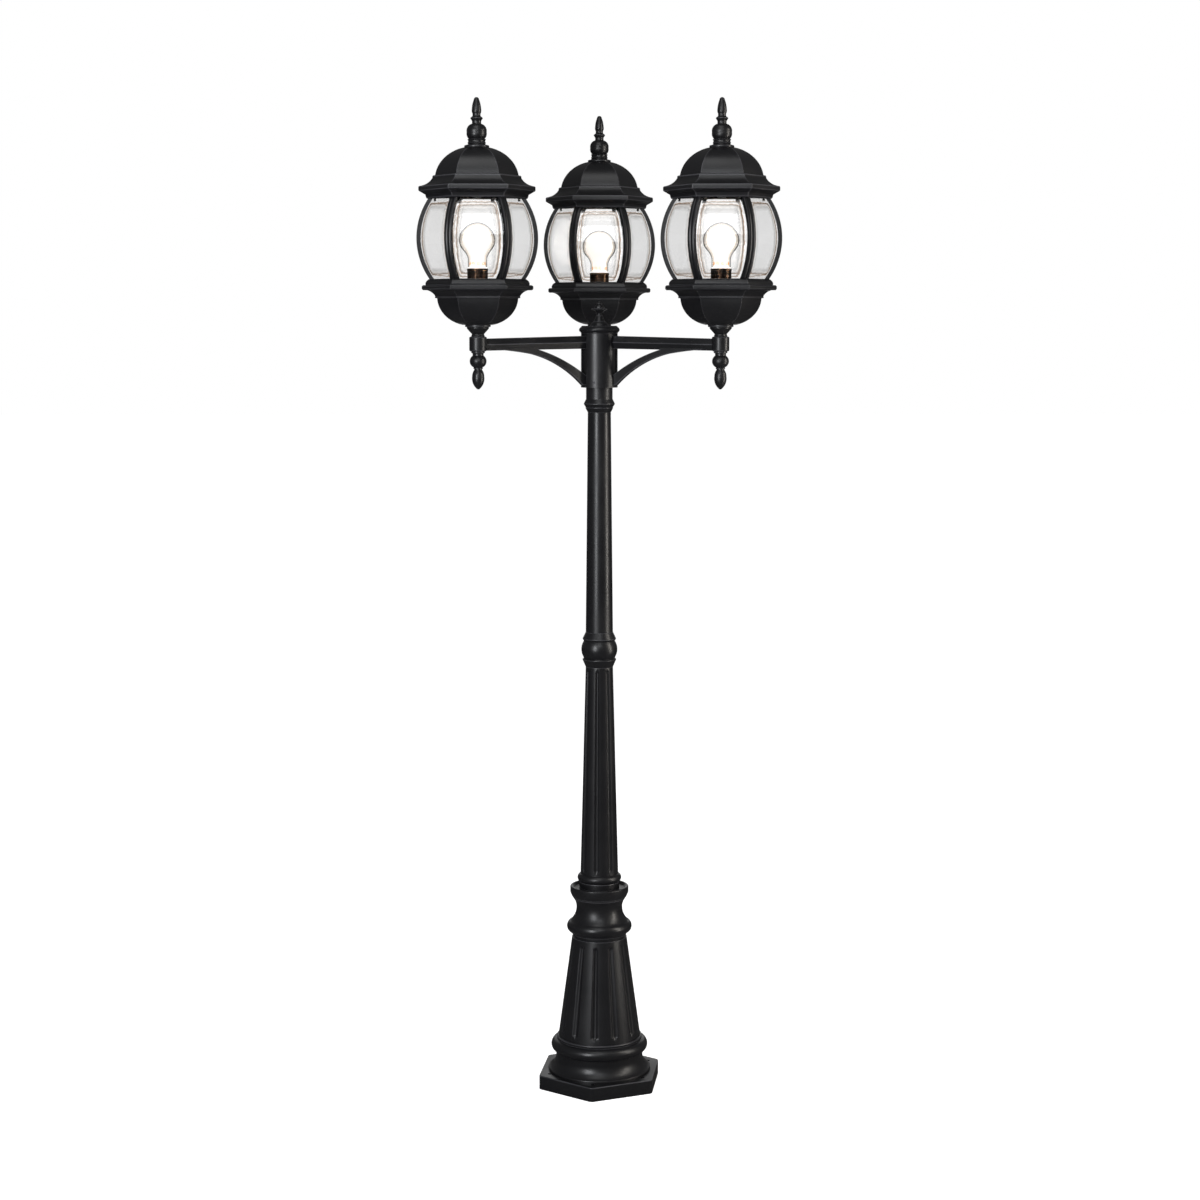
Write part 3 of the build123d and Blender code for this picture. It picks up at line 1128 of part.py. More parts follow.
with BuildPart() as roof_finial:
    stud_low = ROOF_SEAT + ROOF_BAR_THICKNESS - FINIAL_THREAD
    base_top = ROOF_TOP + FINIAL_BASE_HEIGHT
    waist_top = base_top + FINIAL_WAIST_HEIGHT
    ball_top = waist_top + FINIAL_BALL_HEIGHT
    neck_top = ball_top + FINIAL_NECK_HEIGHT
    ring_top = neck_top + FINIAL_RING_HEIGHT
    stalk_top = ring_top + FINIAL_STALK_HEIGHT
    bud_top = stalk_top + FINIAL_BUD_HEIGHT
    with BuildSketch(Plane.XZ):
        with BuildLine():
            Polyline(
                (0, stud_low),
                (STUD_RADIUS, stud_low),
                (STUD_RADIUS, ROOF_TOP),
                (FINIAL_BASE_RADIUS, ROOF_TOP),
                (FINIAL_BASE_RADIUS, ROOF_TOP + FINIAL_BASE_HEIGHT / 2),
                (FINIAL_WAIST_RADIUS, base_top),
                (FINIAL_WAIST_RADIUS, base_top + FINIAL_BEAD_LEVEL),
                (FINIAL_BEAD_RADIUS, base_top + FINIAL_WAIST_HEIGHT / 2),
                (FINIAL_WAIST_RADIUS, waist_top),
            )
            rounded(
                (FINIAL_WAIST_RADIUS, waist_top),
                (FINIAL_BALL_RADIUS, waist_top + FINIAL_BALL_HEIGHT / 2),
                (FINIAL_NECK_RADIUS, ball_top),
            )
            Polyline(
                (FINIAL_NECK_RADIUS, ball_top),
                (FINIAL_NECK_RADIUS, neck_top),
                (FINIAL_RING_RADIUS, (neck_top + ring_top) / 2),
                (FINIAL_STALK_RADIUS, ring_top),
                (FINIAL_STALK_RADIUS, stalk_top),
            )
            rounded(
                (FINIAL_STALK_RADIUS, stalk_top),
                (FINIAL_BUD_RADIUS, stalk_top + FINIAL_BUD_WIDEST),
                (0, bud_top),
            )
            Line((0, bud_top), (0, stud_low))
        make_face()
    revolve(axis=Axis.Z)

# ---------------------------------------------------------------- placing and writing
LANTERN_PLACES = {
    side: Location((0, 0, 0), (0, 0, heading)) * Location((ARM_REACH, 0, ARM_Z))
    for side, heading in ARM_HEADINGS.items()
}
SINGLE_PIECES = {
    "base_casting": base_casting,
    "column_nipples": column_nipples,
    "lower_column": lower_column,
    "knuckle": knuckle,
    "upper_column": upper_column,
    "neck_collar": neck_collar,
    "hub": hub,
    "hub_cap": hub_cap,
    "hub_finial": hub_finial,
    "hub_set_screws": hub_set_screws,
}
LANTERN_PIECES = {
    "pan": pan,
    "pan_cover": pan_cover,
    "cage": cage,
    "glass": glass,
    "roof_bar": roof_bar,
    "roof": roof,
    "roof_finial": roof_finial,
}
LANTERN_SETS = {
    "stem_nipples": stem_nipple,
    "stem_collars": stem_collar,
    "pendants": pendant,
    "glass_clips": glass_clips,
    "lampholders": lampholder,
    "bulb_caps": bulb_cap,
    "bulb_globes": bulb_globe,
}


def write(piece, name):
    piece.part.label = name
    export_step(piece.part, f"parts/{name}.step")


def placed(piece, places):
    # A copy of the piece at each place.
    with BuildPart() as copies:
        with Locations(*places):
            add(piece.part)
    return copies


os.makedirs("parts", exist_ok=True)
for name, piece in SINGLE_PIECES.items():
    write(piece, name)
for side, heading in ARM_HEADINGS.items():
    write(placed(arm, [Location((0, 0, 0), (0, 0, heading))]), f"arm_{side}")
for side, place in LANTERN_PLACES.items():
    for name, piece in LANTERN_PIECES.items():
        write(placed(piece, [place]), f"{name}_{side}")
for name, piece in LANTERN_SETS.items():
    write(placed(piece, LANTERN_PLACES.values()), name)
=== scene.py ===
from math import atan2, cos, degrees, pi, radians, sin, sqrt, tan

import bmesh
import bpy
from mathutils import Matrix, Vector


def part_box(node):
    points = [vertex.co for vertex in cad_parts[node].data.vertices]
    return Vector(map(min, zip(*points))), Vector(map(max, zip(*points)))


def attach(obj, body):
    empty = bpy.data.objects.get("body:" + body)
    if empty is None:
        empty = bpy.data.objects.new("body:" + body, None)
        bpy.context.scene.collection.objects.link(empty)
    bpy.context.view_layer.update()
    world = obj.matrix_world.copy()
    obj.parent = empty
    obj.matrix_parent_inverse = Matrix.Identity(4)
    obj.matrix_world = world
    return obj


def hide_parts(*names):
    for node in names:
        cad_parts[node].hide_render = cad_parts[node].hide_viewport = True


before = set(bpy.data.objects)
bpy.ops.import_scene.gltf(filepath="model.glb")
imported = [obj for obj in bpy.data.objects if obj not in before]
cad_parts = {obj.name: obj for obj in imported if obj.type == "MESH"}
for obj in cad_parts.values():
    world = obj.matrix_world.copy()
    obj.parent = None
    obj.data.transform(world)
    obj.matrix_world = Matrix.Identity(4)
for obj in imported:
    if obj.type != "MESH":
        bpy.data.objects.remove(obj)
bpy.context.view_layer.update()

mm = 0.001
sides = ["left", "right", "rear"]
cornerShare = 1 / cos(radians(30))  # a hexagon's corner radius over its face distance
print("frame loaded,", len(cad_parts), "nodes")


# Shapes
def newShape():
    # An empty shape. The coat's material paints a highlight on each face by its share in the edge highlight layer.
    bm = bmesh.new()
    bm.faces.layers.float.new("paintedEdgeHighlight")
    return bm


def vertsOf(geom):
    return [v for v in geom if isinstance(v, bmesh.types.BMVert)]


def drawOutline(outline, base=0, arcSteps=12, close=False):
    # An upright line of vertices in the XZ plane, in mm above base. Each point is (radius, height), or
    # (radius, height, sag) where an arc that bows to the left of its way by sag reaches it.
    bm = newShape()
    first = last = bm.verts.new(Vector((outline[0][0], 0, base + outline[0][1])) * mm)
    for point in outline[1:]:
        goal = Vector((point[0], 0, base + point[1])) * mm
        sag = point[2] * mm if len(point) > 2 else 0
        if not sag:
            reached = bm.verts.new(goal)
            bm.edges.new((last, reached))
            last = reached
            continue
        chord = goal - last.co
        bend = (chord.length**2 / 4 + sag**2) / (2 * abs(sag))
        left = Vector((-chord.z, 0, chord.x)).normalized() * (1 if sag > 0 else -1)
        centre = last.co + chord / 2 - left * (bend - abs(sag))
        startArm, endArm = last.co - centre, goal - centre
        angle = startArm.angle(endArm) * (1 if sag > 0 else -1)
        arc = bmesh.ops.spin(bm, geom=[last], cent=centre, axis=(0, 1, 0), angle=angle, steps=arcSteps)
        last = vertsOf(arc["geom_last"])[0]
        last.co = goal
    if close:
        bm.edges.new((last, first))
    return bm


def spinRound(bm, steps):
    # Full turn round the post's axis, with seam and poles closed and faces outwards.
    bmesh.ops.spin(bm, geom=bm.verts[:] + bm.edges[:], axis=(0, 0, 1), cent=(0, 0, 0),
                   angle=2 * pi, steps=steps, use_merge=True)
    bmesh.ops.remove_doubles(bm, verts=bm.verts, dist=1e-7)
    bmesh.ops.recalc_face_normals(bm, faces=bm.faces)
    return bm


def spinHexagon(bm):
    # The outline's radii are face distances, so it is stretched to the corners first.
    bmesh.ops.scale(bm, vec=(cornerShare, 1, 1), verts=bm.verts)
    return spinRound(bm, 6)


def sharpEdges(bm, angle):
    # Outer edges where the surface turns by more than the angle.
    return [e for e in bm.edges if e.is_manifold and e.is_convex and degrees(e.calc_face_angle(0)) > angle]


def bevelEdges(bm, edges, width, segments, share, **options):
    # Bevels the edges by a width in mm and gives the new faces their share of the painted edge highlight.
    made = bmesh.ops.bevel(bm, geom=edges, offset=width * mm, offset_type="OFFSET", affect="EDGES",
                           segments=segments, profile=0.5, material=-1, **options)
    light = bm.faces.layers.float["paintedEdgeHighlight"]
    for face in made["faces"]:
        face[light] = share
    return bm


def roundEdges(bm, width, sharp=25, segments=2, edges=None, share=1):
    # Rounds the outer corners, or the given edges, and paints a highlight on them.
    if edges is None:
        edges = sharpEdges(bm, sharp)
    return bevelEdges(bm, edges, width, segments, share, clamp_overlap=True, loop_slide=True)


def moved(bm, way):
    bmesh.ops.translate(bm, vec=Vector(way) * mm, verts=bm.verts)
    return bm


def turned(bm, heading, axis="Z"):
    bmesh.ops.rotate(bm, cent=(0, 0, 0), matrix=Matrix.Rotation(radians(heading), 3, axis), verts=bm.verts)
    return bm


def placed(bm, place):
    bmesh.ops.transform(bm, matrix=place, verts=bm.verts)
    return bm


def extruded(bm, faces, way):
    # Extrudes the faces by a way in mm and gives the vertices that moved.
    verts = vertsOf(bmesh.ops.extrude_face_region(bm, geom=faces)["geom"])
    bmesh.ops.translate(bm, vec=Vector(way) * mm, verts=verts)
    return verts


def addBox(bm, size, centre, heading=0):
    place = (Matrix.Rotation(radians(heading), 4, "Z") @ Matrix.Translation(Vector(centre) * mm)
             @ Matrix.Diagonal((*(Vector(size) * mm), 1)))
    bmesh.ops.create_cube(bm, size=1, matrix=place)


def addRod(bm, radius, depth, place, segments=40, footShare=1):
    # A solid rod along the place's Z. Its foot is narrower by footShare.
    bmesh.ops.create_cone(bm, cap_ends=True, segments=segments, radius1=radius * footShare * mm,
                          radius2=radius * mm, depth=depth * mm, matrix=place)


def sixTurns(first=0):
    return [Matrix.Rotation(radians(first + 60 * index), 4, "Z") for index in range(6)]


def joined(shapes):
    # One bmesh of several.
    whole = shapes[0]
    for shape in shapes[1:]:
        mesh = bpy.data.meshes.new("joining")
        shape.to_mesh(mesh)
        shape.free()
        whole.from_mesh(mesh)
        bpy.data.meshes.remove(mesh)
    return whole


def copies(bm, places):
    # The shape at every place, in one bmesh.
    drawn = bm.verts[:] + bm.edges[:] + bm.faces[:]
    for place in places[1:]:
        made = bmesh.ops.duplicate(bm, geom=drawn)["geom"]
        bmesh.ops.transform(bm, matrix=place, verts=vertsOf(made))
    bmesh.ops.transform(bm, matrix=places[0], verts=vertsOf(drawn))
    return bm


def carve(bm, cutter):
    # The shape less the cutter.
    pair = []
    for shape in (bm, cutter):
        mesh = bpy.data.meshes.new("carving")
        shape.to_mesh(mesh)
        shape.free()
        obj = bpy.data.objects.new("carving", mesh)
        bpy.context.scene.collection.objects.link(obj)
        pair.append(obj)
    block, tool = pair
    cut = block.modifiers.new("cut", "BOOLEAN")
    cut.operation = "DIFFERENCE"
    cut.solver = "EXACT"
    cut.object = tool
    shaped = bpy.data.meshes.new_from_object(block.evaluated_get(bpy.context.evaluated_depsgraph_get()))
    left = bmesh.new()
    left.from_mesh(shaped)
    for obj in pair:
        bpy.data.meshes.remove(obj.data)
    bpy.data.meshes.remove(shaped)
    return left


def makePiece(bm, name, body, material, nodes=(), sharp=35):
    mesh = bpy.data.meshes.new(name)
    bm.to_mesh(mesh)
    bm.free()
    mesh.shade_smooth()
    mesh.set_sharp_from_angle(angle=radians(sharp))
    piece = bpy.data.objects.new(name, mesh)
    bpy.context.scene.collection.objects.link(piece)
    piece.data.materials.append(material)
    even = piece.modifiers.new("even shading", "WEIGHTED_NORMAL")
    even.keep_sharp = True
    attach(piece, body)
    if nodes:
        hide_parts(*nodes)
    return piece


# Shader nodes
def fill(node, values):
    # Sets a node's inputs by name, or links them where a socket is given. A colour is three numbers.
    for label, value in values.items():
        if isinstance(value, bpy.types.NodeSocket):
            node.id_data.links.new(value, node.inputs[label])
        else:
            node.inputs[label].default_value = (*value, 1) if isinstance(value, tuple) else value


def addNode(tree, kind, values=None, **settings):
    node = tree.nodes.new(f"ShaderNode{kind}")
    for setting, value in settings.items():
        setattr(node, setting, value)
    fill(node, values or {})
    return node


def noise(tree, scale, detail=2):
    place = addNode(tree, "TexCoord").outputs["Object"]
    return addNode(tree, "TexNoise", {"Vector": place, "Scale": scale, "Detail": detail}).outputs["Fac"]


def ranged(tree, value, toMin, toMax, fromMin=0, fromMax=1):
    spread = {"Value": value, "From Min": fromMin, "From Max": fromMax, "To Min": toMin, "To Max": toMax}
    return addNode(tree, "MapRange", spread).outputs["Result"]


def mixed(tree, factor, colour, other, blend="MIX"):
    ends = {"Factor": factor, "A": colour, "B": other}
    return addNode(tree, "Mix", ends, data_type="RGBA", blend_type=blend).outputs["Result"]


def combined(tree, operation, value, other):
    return addNode(tree, "Math", {0: value, 1: other}, operation=operation).outputs["Value"]


def attribute(tree, name):
    return addNode(tree, "Attribute", attribute_name=name).outputs["Fac"]


def newMaterial(name):
    material = bpy.data.materials.new(name)
    material.use_nodes = True
    return material, material.node_tree, material.node_tree.nodes["Principled BSDF"]


def powderGroup():
    # Fine grain of a baked powder coat, with a painted highlight in a lighter colour on the bevelled corners.
    tree = bpy.data.node_groups.new("powderCoatGrainAndHighlight", "ShaderNodeTree")
    for label, kind, value in [("Coat", "NodeSocketColor", (0.012, 0.012, 0.013, 1)),
                               ("Corner", "NodeSocketColor", (0.06, 0.06, 0.065, 1)),
                               ("Grain Scale", "NodeSocketFloat", 900.0), ("Gloss", "NodeSocketFloat", 0.42)]:
        socket = tree.interface.new_socket(name=label, in_out="INPUT", socket_type=kind)
        socket.default_value = value
    for label, kind in [("Color", "NodeSocketColor"), ("Roughness", "NodeSocketFloat"),
                        ("Height", "NodeSocketFloat")]:
        tree.interface.new_socket(name=label, in_out="OUTPUT", socket_type=kind)
    given = tree.nodes.new("NodeGroupInput").outputs
    out = tree.nodes.new("NodeGroupOutput")
    grain = noise(tree, given["Grain Scale"], 3)
    drift = noise(tree, 14, 4)  # slow drift of the coat over a whole casting
    # Painted highlight: the Corner colour is mixed in on bevelled faces, unevenly along the slow drift.
    edgeHighlightMask = combined(tree, "MULTIPLY", attribute(tree, "paintedEdgeHighlight"), ranged(tree, drift, 0.45, 1, 0.3, 0.62))
    speck = mixed(tree, 1, given["Coat"], ranged(tree, grain, 0.7, 1.35, 0.3, 0.7), "MULTIPLY")
    fill(out, {"Color": mixed(tree, edgeHighlightMask, speck, given["Corner"]),
               "Roughness": combined(tree, "ADD", given["Gloss"], ranged(tree, drift, -0.05, 0.07, 0.3, 0.7)),
               "Height": grain})
    return tree


grainAndHighlightGroup = powderGroup()


def coatMaterial(name, coat, corner, grainScale, roughness, bump, metallic=0):
    # Baked coat on a casting, or plain metal: colour, gloss, a fine orange-peel bump and a painted edge highlight.
    material, tree, shader = newMaterial(name)
    given = {"Coat": coat, "Corner": corner, "Grain Scale": grainScale, "Gloss": roughness}
    grain = addNode(tree, "Group", node_tree=grainAndHighlightGroup)
    fill(grain, given)
    peel = addNode(tree, "Bump", {"Strength": bump, "Distance": 0.0002, "Height": grain.outputs["Height"]})
    fill(shader, {"Base Color": grain.outputs["Color"], "Roughness": grain.outputs["Roughness"],
                  "Normal": peel.outputs["Normal"], "Metallic": metallic})
    return material


# In each finish the second colour is the painted highlight on bevelled edges.
coatLook = {"coat": (0.0052, 0.0052, 0.0062), "corner": (0.05, 0.05, 0.056), "grainScale": 620,
            "roughness": 0.34, "bump": 0.05}
coat = coatMaterial("blackPowderCoat", **coatLook)
coverCoat = coatMaterial("coverCoat", **dict(coatLook, roughness=0.5))
steel = coatMaterial("plainSteel", (0.32, 0.32, 0.33), (0.6, 0.6, 0.6), 500, 0.32, 0.2, 1)
clipSteel = coatMaterial("darkClip", (0.05, 0.045, 0.04), (0.2, 0.19, 0.18), 700, 0.35, 0.2, 0.6)
darkSteel = coatMaterial("darkScrewSteel", (0.03, 0.03, 0.032), (0.08, 0.08, 0.08), 500, 0.4, 0.2, 0.8)
holderMetal = coatMaterial("bronzeSleeve", (0.075, 0.046, 0.03), (0.95, 0.6, 0.35), 250, 0.25, 0.1, 1)
lampCapMetal = coatMaterial("lampCapMetal", (0.5, 0.48, 0.44), (0.7, 0.7, 0.68), 400, 0.3, 0.2, 1)


def waveBump(tree, shader, scale, strength):
    # Slow unevenness of drawn glass.
    wave = noise(tree, scale, 1)
    bump = addNode(tree, "Bump", {"Strength": strength, "Distance": 0.001, "Height": wave})
    fill(shader, {"Normal": bump.outputs["Normal"]})
    return wave


def paneMaterial():
    # Clear glass, a little uneven, with a grey cast.
    material, tree, shader = newMaterial("clearPane")
    wave = waveBump(tree, shader, 22, 0.12)
    fill(shader, {"Base Color": mixed(tree, wave, (0.98, 0.979, 0.978), (0.998, 0.997, 0.996)),
                  "Roughness": 0.02, "IOR": 1.47, "Transmission Weight": 1})
    return material


# Tints across a pane's sloping border, from its rim to the flat: clear, a brown fringe, grey lines, clear. The fringe
# and grey lines paint the shade and reflections that the sloping border shows.
bevelTints = [(0.0, (0.97, 0.97, 0.965)), (0.50, (0.97, 0.965, 0.96)), (0.535, (0.34, 0.19, 0.10)),
              (0.60, (0.22, 0.19, 0.17)), (0.66, (0.62, 0.60, 0.58)), (0.70, (0.93, 0.86, 0.79)),
              (0.78, (0.88, 0.87, 0.86)), (0.85, (0.64, 0.63, 0.62)), (0.93, (0.80, 0.795, 0.79)),
              (1.0, (0.955, 0.953, 0.95))]


def bevelMaterial():
    material, tree, shader = newMaterial("bevelGlass")
    waveBump(tree, shader, 40, 0.06)
    ripple = ranged(tree, noise(tree, 130), -0.09, 0.09)
    ramp = addNode(tree, "ValToRGB", {"Fac": combined(tree, "ADD", attribute(tree, "bevelShare"), ripple)})
    stops = ramp.color_ramp.elements
    while len(stops) < len(bevelTints):
        stops.new(0.5)
    for stop, (position, tint) in zip(stops, bevelTints):
        stop.position = position
        stop.color = (*tint, 1)
    fill(shader, {"Base Color": ramp.outputs["Color"], "Roughness": 0.03, "IOR": 1.47, "Transmission Weight": 1})
    return material


def groundEdgeMaterial():
    # Ground rim of a pane, which shows as a thin brown line.
    material, tree, shader = newMaterial("groundRim")
    fill(shader, {"Base Color": mixed(tree, noise(tree, 320), (0.16, 0.09, 0.045), (0.5, 0.36, 0.24)),
                  "Roughness": 0.45})
    return material


def glowMaterial(name, colour, strength):
    material, tree, shader = newMaterial(name)
    cloud = mixed(tree, noise(tree, 30), colour, tuple(c * 0.97 for c in colour))
    fill(shader, {"Base Color": cloud, "Emission Color": cloud, "Emission Strength": strength, "Roughness": 0.4})
    return material


def globeMaterial():
    # Warm thin glass, which looks deeper where it is seen edge on.
    material, tree, shader = newMaterial("lampGlobe")
    facing = addNode(tree, "LayerWeight", {"Blend": 0.5}).outputs["Facing"]
    depth = ranged(tree, facing, 0, 1, 0.7, 0.95)
    fill(shader, {"Base Color": mixed(tree, depth, (1.0, 0.965, 0.92), (0.86, 0.82, 0.78)),
                  "Roughness": ranged(tree, noise(tree, 600), 0.02, 0.06), "IOR": 1.16, "Transmission Weight": 1})
    return material


pane = paneMaterial()
bevelGlass = bevelMaterial()
groundRim = groundEdgeMaterial()
glow = glowMaterial("lampGlow", (1.0, 0.985, 0.965), 1.02)
filamentGlow = glowMaterial("filamentGlow", (0.72, 0.36, 0.14), 0.5)
globeGlass = globeMaterial()
print("materials made")

# The base: a hollow hexagonal plate, then the turned foot, fluted skirt, waist and flange in one piece.
basePlate = {"cornerRadius": 121.3, "height": 26, "turn": -7, "wall": 5, "edgeRound": 1.6, "cornerRound": 5,
             "openRadius": 67.5, "openDepth": 10, "boltCircle": 100, "boltRadius": 3.5, "bossRadius": 9,
             "bossHeight": 22, "mouthRound": 0.6, "paintedMouthHighlight": 0.6}
baseFoot = {
    "outline": [(67.5, 21.2), (94.6, 21.2), (95, 26), (95, 29.4), (94.3, 30.4), (80.5, 53.3, 3.9), (80.5, 62.3),
                (78.6, 85.2, -10), (79, 86), (79, 90), (77.9, 91.3), (76, 91.3)],
    "skirtTop": (50.7, 277.3),
    "upper": [(50.7, 278.6), (48.8, 279.8), (48.8, 283.6), (50.8, 284.8), (50.8, 287.4), (53.6, 309, -7.8),
              (53, 309.6), (52.2, 310.2), (42.3, 335, 2.6), (48.6, 352.6, 1.6), (48.6, 354.6), (50.6, 355.6),
              (53.8, 363.6), (53.8, 371.9), (51.6, 374.76, -0.9), (49.8, 374.76), (45.8, 370.76), (13.5, 370.76),
              (13.5, 356.8), (36.9, 356.8), (36.9, 277.3), (42.5, 277.3), (67.5, 91.3)],
    "steps": 240, "edgeRound": 0.7, "unhighlightedBelow": 33}
# The last value of each fluted shaft is the strength of the painted highlight on its rims.
skirtFlutes = {"count": 12, "turn": -97, "halfWidth": 5.1, "depth": 3.6, "low": 98.5, "high": 270.5, "taper": 7,
               "inside": 45, "paintedRimHighlight": 0.7}
rimLook = {"angle": 18, "width": 0.35}  # which edges of a groove are rims, and how wide a painted highlight runs along them


def pressFlutes(bm, flutes):
    # Pushes grooves into a spun shaft, with pointed feet and round heads. Columns of vertices stand at their edges.
    pitch = 360 / flutes["count"]
    low, high, halfWidth = flutes["low"], flutes["high"], flutes["halfWidth"]
    for vert in bm.verts:
        level = vert.co.z / mm
        radius = vert.co.xy.length
        if not low <= level <= high or radius < flutes["inside"] * mm:
            continue
        heading = degrees(atan2(vert.co.y, vert.co.x))
        off = (heading + pitch / 2) % pitch - pitch / 2
        if abs(off) > halfWidth + 0.01:
            continue
        fade = min(1, max(0, min(level - low, high - level) / flutes["taper"]))
        radius -= flutes["depth"] * mm * (1 - (off / halfWidth) ** 2) * fade
        spread = fade if level < (low + high) / 2 else sin(fade * pi / 2)
        turn = radians(heading - off + off * (0.04 + 0.96 * spread))
        vert.co.x, vert.co.y = radius * cos(turn), radius * sin(turn)
    bm.normal_update()


def brightenRims(bm, flutes):
    # Paints a highlight on narrow strips along the grooves' sharp rims.
    rims = []
    for edge in sharpEdges(bm, rimLook["angle"]):
        middle = (edge.verts[0].co + edge.verts[1].co) / 2
        if flutes["low"] <= middle.z / mm <= flutes["high"] and middle.xy.length >= flutes["inside"] * mm:
            rims.append(edge)
    roundEdges(bm, rimLook["width"], segments=1, edges=rims, share=flutes["paintedRimHighlight"])


def fluted(bm, flutes):
    pressFlutes(bm, flutes)
    brightenRims(bm, flutes)
    return turned(bm, flutes["turn"])


def flutedRun(start, end, flutes):
    # Points of a straight tapered side, close together where the grooves run out.
    low, high, taper = flutes["low"], flutes["high"], flutes["taper"]
    levels = [low + taper * share for share in (0, 0.12, 0.3, 0.5, 0.75, 1)]
    levels += [low + taper + (high - low - 2 * taper) * share for share in (0.2, 0.4, 0.6, 0.8)]
    levels += [high - taper * share for share in (1, 0.75, 0.5, 0.3, 0.12, 0)]
    slope = (end[0] - start[0]) / (end[1] - start[1])
    return [(start[0] + slope * (level - start[1]), level) for level in levels] + [end]


def makePlate():
    # The plate with its deep underside, the opening below the foot, and six bosses with their bolt holes.
    look = basePlate
    height = look["height"]
    plate = newShape()
    bmesh.ops.create_circle(plate, cap_ends=True, segments=6, radius=look["cornerRadius"] * mm)
    turned(plate, look["turn"])
    extruded(plate, plate.faces[:], (0, 0, height))
    bmesh.ops.recalc_face_normals(plate, faces=plate.faces)
    upright = [e for e in plate.edges if abs(e.verts[0].co.z - e.verts[1].co.z) > height / 2 * mm]
    bevelEdges(plate, upright, look["cornerRound"], 4, 0)
    underside = [f for f in plate.faces if f.normal.z < -0.9]
    bmesh.ops.inset_region(plate, faces=underside, thickness=look["wall"] * mm, use_even_offset=True)
    extruded(plate, underside, (0, 0, height - look["wall"]))
    bmesh.ops.delete(plate, geom=underside, context="FACES_KEEP_BOUNDARY")
    bmesh.ops.recalc_face_normals(plate, faces=plate.faces)
    rim = [e for e in sharpEdges(plate, 60) if min(v.co.z for v in e.verts) > 0.9 * height * mm]
    roundEdges(plate, look["edgeRound"], edges=rim, segments=3)
    opening, bosses, holes = bmesh.new(), newShape(), bmesh.new()
    addRod(opening, look["openRadius"], 2 * look["openDepth"], Matrix.Translation((0, 0, height * mm)), segments=128)
    plate = carve(plate, opening)
    for turn in sixTurns(look["turn"]):
        place = turn @ Matrix.Translation((0, look["boltCircle"] * mm, look["bossHeight"] / 2 * mm))
        addRod(bosses, look["bossRadius"], look["bossHeight"], place)
        addRod(holes, look["boltRadius"], 80, place)
    cutHoles = holes.copy()
    plate = carve(plate, holes)
    bosses = carve(bosses, cutHoles)
    mouths = [e for e in sharpEdges(plate, 60) if abs(e.verts[0].co.z - e.verts[1].co.z) < 1e-6
              and e.verts[0].co.z > 0.9 * height * mm
              and abs(e.verts[0].co.xy.length - look["boltCircle"] * mm) < 6 * mm]
    # A painted highlight on the bolt holes' mouths.
    bevelEdges(plate, mouths, look["mouthRound"], 2, look["paintedMouthHighlight"], clamp_overlap=True)
    return [plate, bosses]


def makeBase():
    look = baseFoot
    side = flutedRun(look["outline"][-1], look["skirtTop"], skirtFlutes)
    foot = spinRound(drawOutline(look["outline"] + side + look["upper"], close=True), look["steps"])
    roundEdges(foot, look["edgeRound"])
    light = foot.faces.layers.float["paintedEdgeHighlight"]
    for face in foot.faces:
        if face.calc_center_median().z < look["unhighlightedBelow"] * mm:
            face[light] = 0  # the foot's rim on the plate gets no painted highlight
    fluted(foot, skirtFlutes)
    return makePiece(joined([foot, *makePlate()]), "baseCasting", "post", coat, ["base_casting"])


makeBase()
print("base made")

# The columns: fluted below, plain above, with a turned knuckle between them and a collar on top.
lowerColumn = {"outline": [(13.5, 370.76), (36.4, 370.76), (37, 371.6), (37, 382.4), (36.6, 383.2),
                           (34.8, 398.2, -4.7), (34.8, 398.76)],
               "top": (24.9, 784.26), "boreTop": (13.5, 784.26), "steps": 240, "edgeRound": 0.5}
# The last value is the strength of the painted highlight on the flutes' rims.
columnFlutes = {"count": 8, "turn": -99, "halfWidth": 9, "depth": 2.4, "low": 400.4, "high": 782.4, "taper": 8,
                "inside": 22, "paintedRimHighlight": 0.45}
knuckleOutline = [(13.2, 784.26), (25, 784.26), (25.4, 785), (30.5, 796.8), (30.9, 797.8), (30.5, 798.6),
                  (28.2, 800.9), (28.2, 832.3, -4.7), (30.1, 834.8), (30.6, 836.1), (30.2, 837.3), (25.6, 846.8),
                  (25.1, 848.26), (13.2, 848.26)]
upperColumnOutline = [(13.2, 848.26), (24.8, 848.26), (20.9, 1248.26), (13.2, 1248.26)]
collarOutline = [(13.2, 1248.26), (20.9, 1248.26), (21.4, 1249.2), (25, 1256), (25.1, 1256.6), (24.3, 1257.6),
                 (25.3, 1258.6), (28, 1262.8), (28.2, 1263.8), (27.7, 1264.8), (24.4, 1271.4), (24, 1272.6),
                 (24, 1293.06), (15.9, 1293.06), (15.9, 1363.06), (11.9, 1363.06), (11.9, 1272.3), (13.2, 1272.3)]


def makeTurned(outline, name, body, node, places=(), material=coat, slotName="casting", base=0, steps=144,
               edgeRound=0.5, close=True):
    # A turned piece, on the post's axis or at each of several places.
    bm = spinRound(drawOutline(outline, base=base, close=close), steps)
    roundEdges(bm, edgeRound)
    if places:
        copies(bm, places)
    return makePiece(bm, name, body, material, [node])


def makeLowerColumn():
    look = lowerColumn
    side = flutedRun(look["outline"][-1], look["top"], columnFlutes)
    shaft = spinRound(drawOutline(look["outline"] + side + [look["boreTop"]], close=True), look["steps"])
    roundEdges(shaft, look["edgeRound"])
    fluted(shaft, columnFlutes)
    return makePiece(shaft, "lowerColumn", "post", coat, ["lower_column"])


makeLowerColumn()
makeTurned(knuckleOutline, "knuckle", "post", "knuckle")
makeTurned(upperColumnOutline, "upperColumn", "post", "upper_column", edgeRound=0.3)
makeTurned(collarOutline, "neckCollar", "post", "neck_collar")
print("columns made")

